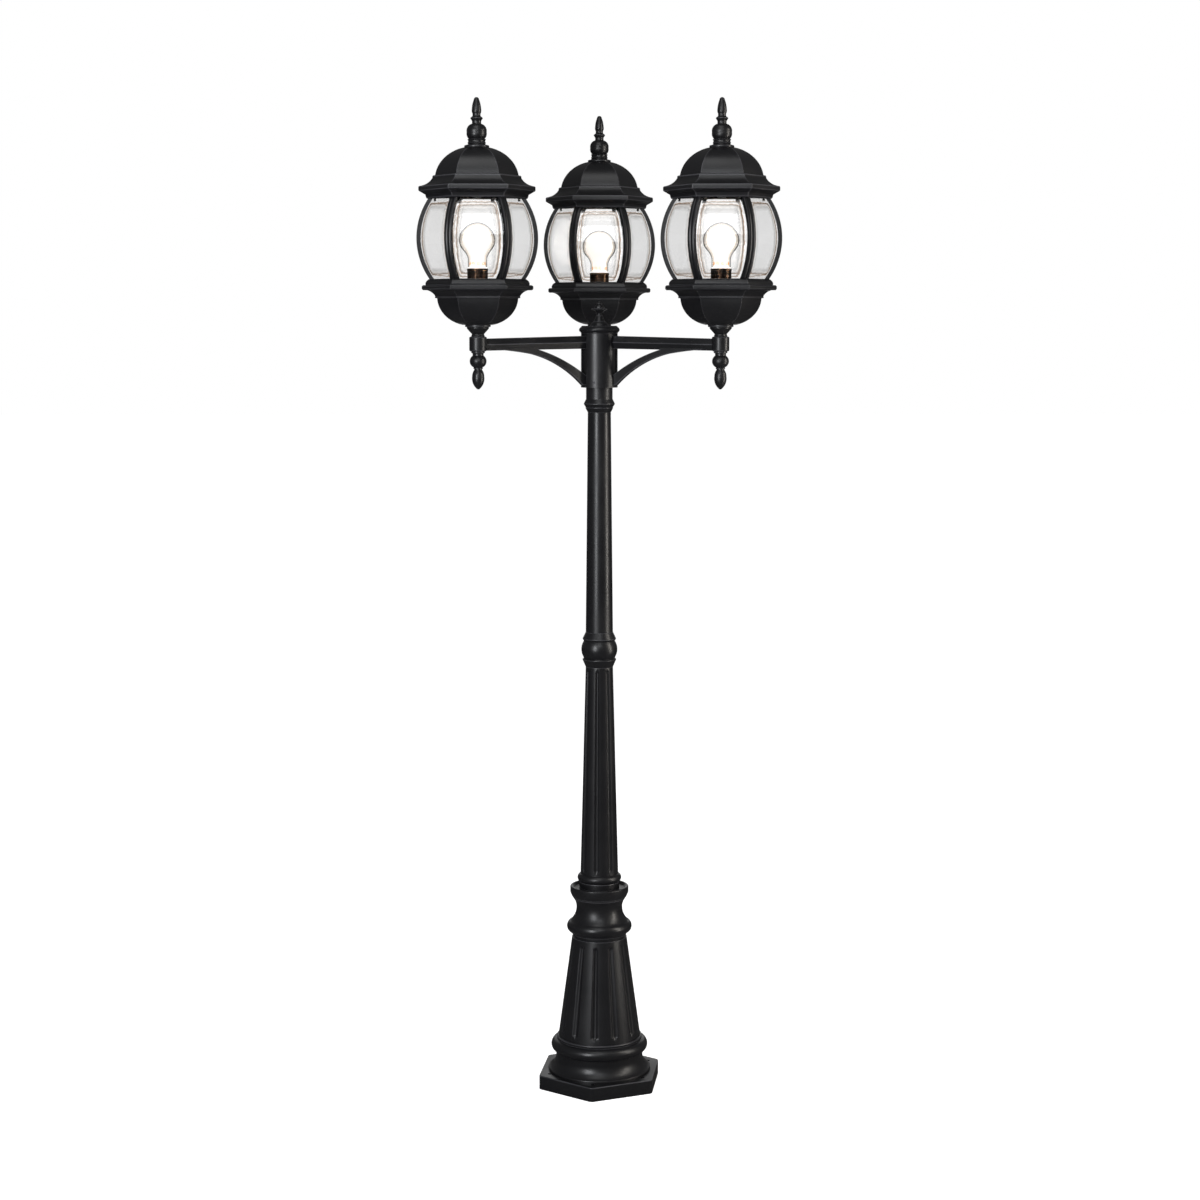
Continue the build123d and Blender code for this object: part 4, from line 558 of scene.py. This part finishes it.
# The hub with its three slots, the cap over it and the cup finial.
hubLook = {"radius": 33.1, "low": 1293.06, "high": 1389.06, "boreRadius": 15.98, "boreTop": 1366.06, "steps": 192,
           "floor": 4.5, "slotWidth": 17, "slotDepth": 19.48, "slotRun": 30, "headWidth": 23, "headDepth": 4.5,
           "cutAbove": 5, "screwRadius": 2.5, "screwHeight": 9, "screwSpread": 17.5, "screwMiddle": 28,
           "screwRun": 26, "headings": {"left": 210, "right": 330, "rear": 90}, "edgeRound": 0.6}
hubCapOutline = [(3.3, 1389.06), (33.1, 1389.06), (33.3, 1391.2), (36.4, 1394.9, -0.5), (36.4, 1397, -0.25),
                 (33, 1401.2, -0.5), (31.6, 1402.9), (30.2, 1403.5), (17.9, 1400.9), (17.3, 1401.2),
                 (11.5, 1410.4, -0.9), (11.3, 1411), (10.4, 1411.4), (6.4, 1420.6), (6.3, 1421.06), (3.3, 1421.06)]
cupOutline = [(0, 1381.3), (3, 1381.3), (3, 1421.06), (6.1, 1421.06), (6.3, 1421.6), (5, 1425, 0.4),
              (13.6, 1432.4, 1.2), (14.2, 1433.3), (13.8, 1434.2), (8.8, 1434.6), (8.5, 1435.4), (6.4, 1440.4, -0.7),
              (4.4, 1441.2), (4.7, 1443.6, -0.3), (0, 1446.4, -0.9)]


def makeHub():
    look = hubLook
    low, high, radius = look["low"], look["high"], look["radius"]
    hub = spinRound(drawOutline([(0, look["boreTop"]), (look["boreRadius"], look["boreTop"]),
                                 (look["boreRadius"], low), (radius, low), (radius, high), (0, high)]),
                    look["steps"])
    slots, heads, drills = bmesh.new(), bmesh.new(), bmesh.new()
    start, floor, above = look["slotDepth"], low + look["floor"], high + look["cutAbove"]
    middle, depth = (floor + above) / 2, above - floor
    for heading in look["headings"].values():
        addBox(slots, (look["slotRun"], look["slotWidth"], depth), (start + look["slotRun"] / 2, 0, middle), heading)
        addBox(heads, (look["headDepth"], look["headWidth"], depth), (start + look["headDepth"] / 2, 0, middle),
               heading)
        for hand in (-1, 1):
            turn = heading + 60 + hand * look["screwSpread"]
            place = (Matrix.Rotation(radians(turn), 4, "Z")
                     @ Matrix.Translation((look["screwMiddle"] * mm, 0, (low + look["screwHeight"]) * mm))
                     @ Matrix.Rotation(pi / 2, 4, "Y"))
            addRod(drills, look["screwRadius"], look["screwRun"], place, segments=32)
    for cutter in (slots, heads, drills):
        hub = carve(hub, cutter)
    outer = [e for e in sharpEdges(hub, 30) if min(v.co.xy.length for v in e.verts) > (radius - 2) * mm]
    roundEdges(hub, look["edgeRound"], edges=outer)
    return makePiece(hub, "hub", "head", coat, ["hub"])


makeHub()
makeTurned(hubCapOutline, "hubCap", "head", "hub_cap")
makeTurned(cupOutline, "hubFinial", "head", "hub_finial", steps=96, edgeRound=0.35, close=False)
print("hub made")

# Each arm: a ridged beam, a curved brace under it, a barrel at its end and a root in the hub's slot.
armLook = {"axis": 1372.06, "reach": 244.5, "root": 28.1, "rootHeight": 22.9, "tipHeight": 20.9, "rootLift": 1.9,
           "tipLift": -1.5, "width": 15, "flat": 8, "beamRound": 0.8,
           "brace": [(28.1, -58.4), (127, -10.2, 5), (127, -3), (215, -3), (215, -9.6), (140.8, -18, -1),
                     (36.9, -74.4, -8.4), (28.1, -74.4)],
           "braceWidth": 10, "braceRound": 1.3,
           "barrel": [(5.2, -12.7), (13.7, -12.7), (15.3, -11.2), (15.3, 11.2), (13.7, 12.7), (5.2, 12.7)],
           "barrelRound": 0.5, "slotGap": 0.1, "neck": (9.4, 16.7), "neckAt": 24.4, "tee": (4.2, 22.7), "teeAt": 21.8}


def makeArm(side):
    look = armLook
    axis, start = look["axis"], look["root"]
    beam = newShape()
    half, flat, width = look["rootHeight"] / 2, look["flat"] / 2, look["width"] / 2
    ring = [beam.verts.new(Vector((start, y, axis + look["rootLift"] + z)) * mm)
            for y, z in ((-width, 0), (-flat, -half), (flat, -half), (width, 0), (flat, half), (-flat, half))]
    tip = extruded(beam, [beam.faces.new(ring)], (look["reach"] - start, 0, 0))
    bmesh.ops.scale(beam, vec=(1, 1, look["tipHeight"] / look["rootHeight"]), verts=tip,
                    space=Matrix.Translation((0, 0, -(axis + look["rootLift"]) * mm)))
    bmesh.ops.translate(beam, vec=(0, 0, (look["tipLift"] - look["rootLift"]) * mm), verts=tip)
    bmesh.ops.recalc_face_normals(beam, faces=beam.faces)
    roundEdges(beam, look["beamRound"])
    brace = drawOutline(look["brace"], base=axis, arcSteps=24, close=True)
    bmesh.ops.contextual_create(brace, geom=brace.edges[:])
    moved(brace, (0, -look["braceWidth"] / 2, 0))
    extruded(brace, brace.faces[:], (0, look["braceWidth"], 0))
    bmesh.ops.recalc_face_normals(brace, faces=brace.faces)
    roundEdges(brace, look["braceRound"], sharp=60)
    barrel = spinRound(drawOutline(look["barrel"], base=axis, close=True), 96)
    roundEdges(barrel, look["barrelRound"])
    moved(barrel, (look["reach"], 0, 0))
    root = newShape()
    low, high = hubLook["low"] + hubLook["floor"] + look["slotGap"], hubLook["high"]
    addBox(root, (*look["neck"], high - low), (look["neckAt"], 0, (low + high) / 2))
    addBox(root, (*look["tee"], high - low - 2 * look["slotGap"]), (look["teeAt"], 0, (low + high) / 2))
    arm = turned(joined([beam, brace, barrel, root]), hubLook["headings"][side])
    return makePiece(arm, f"arm_{side}", "head", coat, [f"arm_{side}"], sharp=30)


for side in sides:
    makeArm(side)
print("arms made")

# The lanterns. Heights are above the arm's axis, and a hexagon's radii are its face distances.
lanternBase = armLook["axis"]


def lanternCentre(side):
    lowest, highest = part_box(f"pan_{side}")
    middle = (lowest + highest) / 2
    return Vector((middle.x, middle.y, 0))


lanternPlaces = [Matrix.Translation(lanternCentre(side)) for side in sides]
# Each lantern is turned a little on its stem towards the viewer, and eased in depth to keep its place.
lanternTurn = {"left": (4, 0.96), "right": (-2.4, 0.974), "rear": (0.9, 0.987)}
ribSpread = 1.0173  # ribs and panes stand this much wider across than the frame's rings


def hexPlace(side, spread=1):
    turn, depth = lanternTurn[side]
    return (Matrix.Translation(lanternCentre(side)) @ Matrix.Diagonal((spread, depth, 1, 1))
            @ Matrix.Rotation(radians(turn), 4, "Z"))


stemCollarOutline = [(5.2, 12.7), (11.6, 12.7), (12, 13.3), (10.7, 16.4), (10.9, 17.4), (19, 26.4), (19.3, 27.2),
                     (19.3, 28.6), (19.7, 29.1), (21.8, 29.5), (22.4, 30.2), (22.4, 32.6), (22, 33), (5.2, 33)]
pendantOutline = [(0, -79.2), (1.6, -78.9), (10.6, -56, -3.4), (7.1, -45.4, -0.9), (7, -43.6), (8.4, -42.8),
                  (8.4, -41.6), (7.6, -40.8), (9.7, -20.4, -6.1), (9.6, -17), (9.9, -16.2), (11.7, -15.7),
                  (12, -15.2), (12, -13), (11.7, -12.7), (0, -12.7)]
panLook = {"outline": [(5.3, 33), (22.6, 33), (61.2, 78.4, -10), (61.6, 79.2), (64, 79.2), (64.4, 79.7), (64.4, 82),
                       (64, 82.4), (75.4, 92.6, 1.6), (76.2, 93), (82.2, 93), (84.1, 95), (84.1, 99.6), (82.1, 101.6),
                       (72.6, 101.6), (72.6, 99.6), (67.6, 99.6), (67.6, 94.6), (58.2, 82), (20, 36, 10), (5.3, 36)],
           "edgeRound": 0.7}
roofLook = {"outline": [(73.2, 249.7), (75, 249.7), (76.6, 251.6), (77.8, 256.8), (78.4, 257.2),
                        (86.6, 262.6), (88, 263.6), (88, 270.4), (86.8, 271.4), (66.9, 285.4, 3), (66.9, 288),
                        (66.1, 289.4), (62.8, 290.2), (19, 337.5, -10), (3.3, 337.5), (3.3, 334.5), (16, 334.5),
                        (59.4, 287, 10), (63.9, 282.5), (78.2, 267), (69, 264), (69, 256), (73.2, 256)],
            "edgeRound": 0.8}
roofFinialOutline = [(0, 252), (3, 252), (3, 337.5), (21.2, 337.5), (21.6, 338), (21.6, 339.9), (20.9, 340.8),
                     (15.6, 342.2), (14.9, 343.3), (15.2, 344), (16.1, 345.1), (15.2, 346.2), (14.8, 347), (14.8, 349),
                     (15.3, 349.7), (16.1, 350.8), (15.2, 351.5), (13.8, 351.9), (17.3, 363.2, -1.5),
                     (8.2, 377.6, -3.4), (7.9, 378.6), (7.9, 382.2), (8.3, 383), (10.5, 386.2), (10.8, 387.1),
                     (10.4, 388), (7.3, 390.4), (7, 391.2), (6.9, 394.6), (8.1, 402.4, -0.7), (4.6, 418.5, -0.7),
                     (0, 422.8, -1.3)]
holderOutline = [(5, 90.2), (18, 90.2), (18, 127.8), (18.3, 128.3), (18.3, 130.6), (17.9, 131.2), (17, 131.2),
                 (17, 125.2), (13.6, 125.2), (13.6, 94.2), (5, 94.2)]
# A bar is its section swept round an arc: centre (radius, height), bend radius, and from and to in degrees.
cageLook = {"ribCentre": (-49.49, 181.83), "ribBend": 139.47, "ribFrom": -33, "ribTo": 32.2, "ribSteps": 30,
            "ribSection": [(-6.4, -6.5), (-1.1, -6.5), (-0.7, -0.45, -0.75), (-1.9, 0), (-0.7, 0.45),
                           (-1.1, 6.5, -0.75), (-6.4, 6.5)],
            "sillRing": [(69.4, 101.6), (77.9, 101.6), (78.6, 102.3), (78.6, 105.3), (78.2, 106.2), (77, 108.7),
                         (76.4, 109.3), (73.8, 111.7), (72.6, 112.1), (69.4, 112.1)],
            "headRing": [(61.5, 253.4), (70.4, 253.4), (70.4, 250.6), (72.7, 250.6), (72.7, 256), (68.5, 256),
                         (68.5, 261), (66, 261), (66, 256), (61.5, 256)],
            "sillRound": 0.5}
# The panes' arc passes the foot, the middle and the top of the bars' outer line, moved in by inset.
glassLook = {"foot": 73.4, "middle": 91.8, "top": 74.6, "arcLow": 112.1, "arcHigh": 249.4, "inset": 5.7,
             "thickness": 2, "edgeGap": 1, "low": 109.6, "high": 251.9, "bevelWidth": 19, "bevelRise": 1,
             "sideShare": 0.9, "rows": 26, "columns": 26}


def makeCage(side):
    # Six curved bars with a double bead outside, between the sill ring and the head ring.
    look = cageLook
    bars = turned(drawOutline(look["ribSection"], arcSteps=6, close=True), 90, "X")
    turned(moved(bars, (look["ribBend"], 0, 0)), -look["ribFrom"], "Y")
    centre = Vector((look["ribCentre"][0], 0, lanternBase + look["ribCentre"][1]))
    moved(bars, centre)
    bmesh.ops.spin(bars, geom=bars.verts[:] + bars.edges[:], cent=centre * mm, axis=(0, 1, 0),
                   angle=radians(look["ribFrom"] - look["ribTo"]), steps=look["ribSteps"])
    bmesh.ops.holes_fill(bars, edges=bars.edges[:])
    bmesh.ops.scale(bars, vec=(cornerShare, 1, 1), verts=bars.verts)
    bmesh.ops.recalc_face_normals(bars, faces=bars.faces)
    placed(copies(bars, sixTurns()), hexPlace(side, ribSpread))
    sill = spinHexagon(drawOutline(look["sillRing"], base=lanternBase, close=True))
    roundEdges(sill, look["sillRound"])
    head = spinHexagon(drawOutline(look["headRing"], base=lanternBase, close=True))
    rings = placed(joined([sill, head]), hexPlace(side))
    return makePiece(joined([bars, rings]), f"cage_{side}", "head", coat, [f"cage_{side}"], sharp=30)


def paneOutline(look):
    # Points along a pane's middle, from one arc that leans with the cage.
    rise = (look["arcHigh"] - look["arcLow"]) / 2
    bow = look["middle"] - (look["foot"] + look["top"]) / 2
    bend = (rise**2 + bow**2) / (2 * bow)
    middle = (look["arcHigh"] + look["arcLow"]) / 2
    lean = (look["top"] - look["foot"]) / 2 / rise
    points = []
    for row in range(look["rows"] + 1):
        level = look["low"] + (look["high"] - look["low"]) * row / look["rows"]
        above = level - middle
        radius = look["middle"] - bend + sqrt(bend**2 - above**2) + lean * above - look["inset"]
        points.append((radius, level))
    return points


def makeGlass(side):
    # Six panes that follow the bars' curve, each with a ground rim and a wide sloping border.
    look = glassLook
    sheet = drawOutline(paneOutline(look), base=lanternBase)
    share = sheet.verts.layers.float.new("bevelShare")  # 0 at a pane's rim, 1 where its border ends

    def halfWidth(vert):
        return vert.co.x * tan(radians(30)) - look["edgeGap"] * mm

    far = bmesh.ops.extrude_edge_only(sheet, edges=sheet.edges[:])["geom"]
    for vert in sheet.verts:
        vert.co.y = halfWidth(vert) if vert in far else -halfWidth(vert)
    across = [e for e in sheet.edges if abs(e.verts[0].co.z - e.verts[1].co.z) < 1e-7]
    bmesh.ops.subdivide_edges(sheet, edges=across, cuts=look["columns"] - 1, use_grid_fill=True)
    bmesh.ops.recalc_face_normals(sheet, faces=sheet.faces)
    if sum(f.normal.x for f in sheet.faces) < 0:
        bmesh.ops.reverse_faces(sheet, faces=sheet.faces[:])
    for vert in sheet.verts:
        level = vert.co.z / mm - lanternBase
        fromSide = (halfWidth(vert) - abs(vert.co.y)) / mm * look["sideShare"]
        rim = min(fromSide, level - look["low"], look["high"] - level)
        vert[share] = max(0, min(1, rim / look["bevelWidth"]))
    bmesh.ops.solidify(sheet, geom=sheet.faces[:], thickness=look["thickness"] * mm)
    bmesh.ops.recalc_face_normals(sheet, faces=sheet.faces)
    sheet.normal_update()
    front = [f for f in sheet.faces if f.normal.x > 0.7]
    for face in sheet.faces:
        if abs(face.normal.x) < 0.7:
            face.material_index = 1  # the ground rim
    for vert in set(v for f in front for v in f.verts):
        vert.co.x += look["bevelRise"] * mm * vert[share]
    for face in front:
        if min(v[share] for v in face.verts) < 1:
            face.material_index = 2  # the sloping border
    placed(copies(sheet, sixTurns(30)), hexPlace(side, ribSpread))
    piece = makePiece(sheet, f"glass_{side}", "head", pane, [f"glass_{side}"], sharp=20)
    piece.data.materials.append(groundRim)
    piece.data.materials.append(bevelGlass)
    return piece


def makeHexagonal(look, name, side, body):
    bm = spinHexagon(drawOutline(look["outline"], base=lanternBase, arcSteps=16, close=True))
    placed(roundEdges(bm, look["edgeRound"]), hexPlace(side))
    return makePiece(bm, name, body, coat, [name], sharp=30)


def lanternTurned(outline, name, body, node, places=lanternPlaces, edgeRound=0.4, **look):
    return makeTurned(outline, name, body, node, places, base=lanternBase, steps=96, edgeRound=edgeRound, **look)


lanternTurned(stemCollarOutline, "stemCollars", "head", "stem_collars")
lanternTurned(pendantOutline, "pendants", "head", "pendants", close=False)
lanternTurned(holderOutline, "lampholders", "head", "lampholders", edgeRound=0.25, material=holderMetal,
              slotName="holder")
for side, place in zip(sides, lanternPlaces):
    makeHexagonal(panLook, f"pan_{side}", side, "head")
    makeCage(side)
    makeGlass(side)
    makeHexagonal(roofLook, f"roof_{side}", side, f"roof_{side}")
    lanternTurned(roofFinialOutline, f"roofFinial_{side}", f"roof_{side}", f"roof_finial_{side}", [place], close=False)
print("lanterns made")

# Small spring clips with a screw head, at both upper corners of every pane.
clipLook = {"faceDistance": 67.2, "top": 253.4, "width": 6, "height": 9, "thickness": 1.2, "headRadius": 1.9,
            "headFoot": 0.7, "headHeight": 1, "headDrop": 1.5, "fromCorner": 7.5, "edgeRound": 0.25}


def makeClips():
    look = clipLook
    size = Vector((look["thickness"], look["width"], look["height"])) * mm
    out = look["faceDistance"] - look["thickness"] / 2
    aside = look["faceDistance"] * tan(radians(30)) - look["width"] / 2 - look["fromCorner"]
    level = lanternBase + look["top"] - look["height"] / 2
    inwards = -(look["thickness"] + look["headHeight"]) / 2
    clips = newShape()
    for side in sides:
        for turn in sixTurns(30):
            for hand in (-1, 1):
                place = hexPlace(side) @ turn @ Matrix.Translation(Vector((out, hand * aside, level)) * mm)
                bmesh.ops.create_cube(clips, size=1, matrix=place @ Matrix.Diagonal((*size, 1)))
                head = (place @ Matrix.Translation(Vector((inwards, 0, -look["headDrop"])) * mm)
                        @ Matrix.Rotation(pi / 2, 4, "Y"))
                addRod(clips, look["headRadius"], look["headHeight"], head, 16, look["headFoot"])
    bmesh.ops.recalc_face_normals(clips, faces=clips.faces)
    roundEdges(clips, look["edgeRound"], sharp=50, segments=1)
    return makePiece(clips, "glassClips", "head", clipSteel, ["glass_clips"])


makeClips()

# The lamps: a thin glass bulb with a glowing core, and small curled wires low in its neck.
lampLook = {"shell": [(0, 209.5), (30, 179.5, 8.79), (22.98, 160.22, 1.81), (16.6, 147.5, -0.8), (16.6, 133.4),
                      (15.8, 133.4), (15.8, 147.7), (22.1, 160.5, 0.8), (29.2, 179.5, -1.75), (0, 208.7, -8.55)],
            "core": [(0, 131.3), (16.7, 131.3), (16.7, 133.2), (13.2, 133.9), (12.2, 134.8), (12, 149),
                     (17.8, 162.2, 0.8), (25.2, 179.5, -1.6), (0, 204.7, -7.38)],
            "curlRadius": 2.3, "curlWire": 0.55, "curlHeight": 139, "curlOut": 13.4, "curlSweep": 300, "curls": 9}


def makeLamps():
    look = lampLook
    shell = spinRound(drawOutline(look["shell"], base=lanternBase, arcSteps=18), 96)
    makePiece(copies(shell, lanternPlaces), "lampGlobes", "head", globeGlass, ["bulb_globes"])
    core = spinRound(drawOutline(look["core"], base=lanternBase, arcSteps=14), 72)
    makePiece(copies(core, lanternPlaces), "lampCores", "head", glow)
    curls = newShape()
    start = Matrix.Translation((look["curlRadius"] * mm, 0, 0)) @ Matrix.Rotation(pi / 2, 4, "X")
    bmesh.ops.create_circle(curls, segments=8, radius=look["curlWire"] * mm, matrix=start)
    bmesh.ops.spin(curls, geom=curls.verts[:] + curls.edges[:], axis=(0, 0, 1), cent=(0, 0, 0),
                   angle=radians(look["curlSweep"]), steps=20)
    bmesh.ops.holes_fill(curls, edges=curls.edges[:])
    bmesh.ops.recalc_face_normals(curls, faces=curls.faces)
    places = []
    for place in lanternPlaces:
        for index in range(look["curls"]):
            places.append(place @ Matrix.Rotation(2 * pi * index / look["curls"], 4, "Z")
                          @ Matrix.Translation(Vector((look["curlOut"], 0, lanternBase + look["curlHeight"])) * mm)
                          @ Matrix.Rotation(pi / 2, 4, "Y") @ Matrix.Rotation(2.1 * index, 4, "Z"))
    makePiece(copies(curls, places), "lampCurls", "head", filamentGlow)


makeLamps()
print("lamps made")

# Nodes whose shape is right stay as they are, with a finish of their own.
keptNodes = {"column_nipples": steel, "hub_set_screws": darkSteel, "stem_nipples": steel, "bulb_caps": lampCapMetal}
for side in sides:
    keptNodes[f"pan_cover_{side}"] = coverCoat
    keptNodes[f"roof_bar_{side}"] = steel
for name, material in keptNodes.items():
    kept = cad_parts[name]
    kept.data.materials.clear()
    kept.data.materials.append(material)

# Floor, world, lamps and camera.
stageLook = {"floorSize": 60, "floorColour": (0.8, 0.8, 0.8), "floorInGloss": 0.12, "floorGlow": 0.76,
             "worldForLight": 0.32, "worldForGloss": 0.1}


def seenStraight(tree):
    # 1 for what the camera sees, also through glass, and 1 for what a gloss mirrors.
    ray = addNode(tree, "LightPath").outputs
    bounces = combined(tree, "ADD", ray["Diffuse Depth"], ray["Glossy Depth"])
    return combined(tree, "LESS_THAN", bounces, 0.5), combined(tree, "GREATER_THAN", ray["Glossy Depth"], 0.5)


def makeFloor():
    look = stageLook
    bm = bmesh.new()
    bmesh.ops.create_grid(bm, x_segments=1, y_segments=1, size=look["floorSize"] / 2)
    mesh = bpy.data.meshes.new("studioFloor")
    bm.to_mesh(mesh)
    bm.free()
    floor = bpy.data.objects.new("studioFloor", mesh)
    bpy.context.scene.collection.objects.link(floor)
    material, tree, shader = newMaterial("paleFloor")
    mottle = mixed(tree, noise(tree, 1.5), look["floorColour"], tuple(c + 0.01 for c in look["floorColour"]))
    seen, mirrored = seenStraight(tree)
    fill(shader, {"Base Color": mixed(tree, mirrored, mottle, (look["floorInGloss"],) * 3), "Roughness": 0.9,
                  "Specular IOR Level": 0, "Emission Color": (1, 1, 1),
                  "Emission Strength": combined(tree, "MULTIPLY", seen, look["floorGlow"])})
    mesh.materials.append(material)


def makeWorld():
    world = bpy.data.worlds.new("studio")
    bpy.context.scene.world = world
    world.use_nodes = True
    tree = world.node_tree
    seen, mirrored = seenStraight(tree)
    dim = ranged(tree, mirrored, stageLook["worldForLight"], stageLook["worldForGloss"])
    level = addNode(tree, "Mix", {"Factor": seen, "A": dim, "B": 1})
    fill(tree.nodes["Background"], {"Color": (1, 1, 1), "Strength": level.outputs["Result"]})


def softbox(name, place, size, watts, aim, colour=(1, 1, 1), hidden=False):
    lamp = bpy.data.lights.new(name, "AREA")
    lamp.shape = "RECTANGLE"
    lamp.size, lamp.size_y = size
    lamp.energy = watts
    lamp.color = colour
    holder = bpy.data.objects.new(name, lamp)
    holder.location = place
    holder.rotation_euler = (Vector(aim) - Vector(place)).to_track_quat("-Z", "Y").to_euler()
    holder.visible_camera = holder.visible_transmission = not hidden
    bpy.context.scene.collection.objects.link(holder)


softboxes = {
    "keySoftbox": {"place": (-1.45, -2.75, 1.5), "size": (0.7, 1.9), "watts": 56, "aim": (0, 0, 1.0),
                   "colour": (0.95, 0.97, 1)},
    "frontSoftbox": {"place": (0.07, -2.3, 2.34), "size": (0.6, 1.16), "watts": 9, "aim": (0.07, 0, 1.7),
                     "colour": (0.95, 0.97, 1)},
    "topSoftbox": {"place": (-0.25, -1.1, 3.3), "size": (1.2, 1.2), "watts": 9, "aim": (0, 0, 1.3)},
    "backSoftbox": {"place": (0, 3.2, 1.05), "size": (2.6, 1.0), "watts": 7.5, "aim": (0, 0, 0.3), "hidden": True},
    "sideStrip": {"place": (1.95, -0.55, 1.3), "size": (0.28, 2.2), "watts": 26, "aim": (0, 0, 1.0),
                  "colour": (1, 0.95, 0.88)},
}
makeFloor()
makeWorld()
for name, look in softboxes.items():
    softbox(name, **look)

viewLook = {"place": (0.0012, -4.120, 1.414), "pitch": -7.02, "lens": 68.27, "sensor": 36}
view = bpy.data.cameras.new("photoView")
view.lens, view.sensor_width = viewLook["lens"], viewLook["sensor"]
view.sensor_fit = "HORIZONTAL"
view.clip_end = 200
viewer = bpy.data.objects.new("photoView", view)
viewer.location = viewLook["place"]
viewer.rotation_euler = (radians(90 + viewLook["pitch"]), 0, 0)
bpy.context.scene.collection.objects.link(viewer)
bpy.context.scene.camera = viewer
bpy.context.scene.view_settings.view_transform = "Standard"
print("stage set")

bpy.context.view_layer.update()
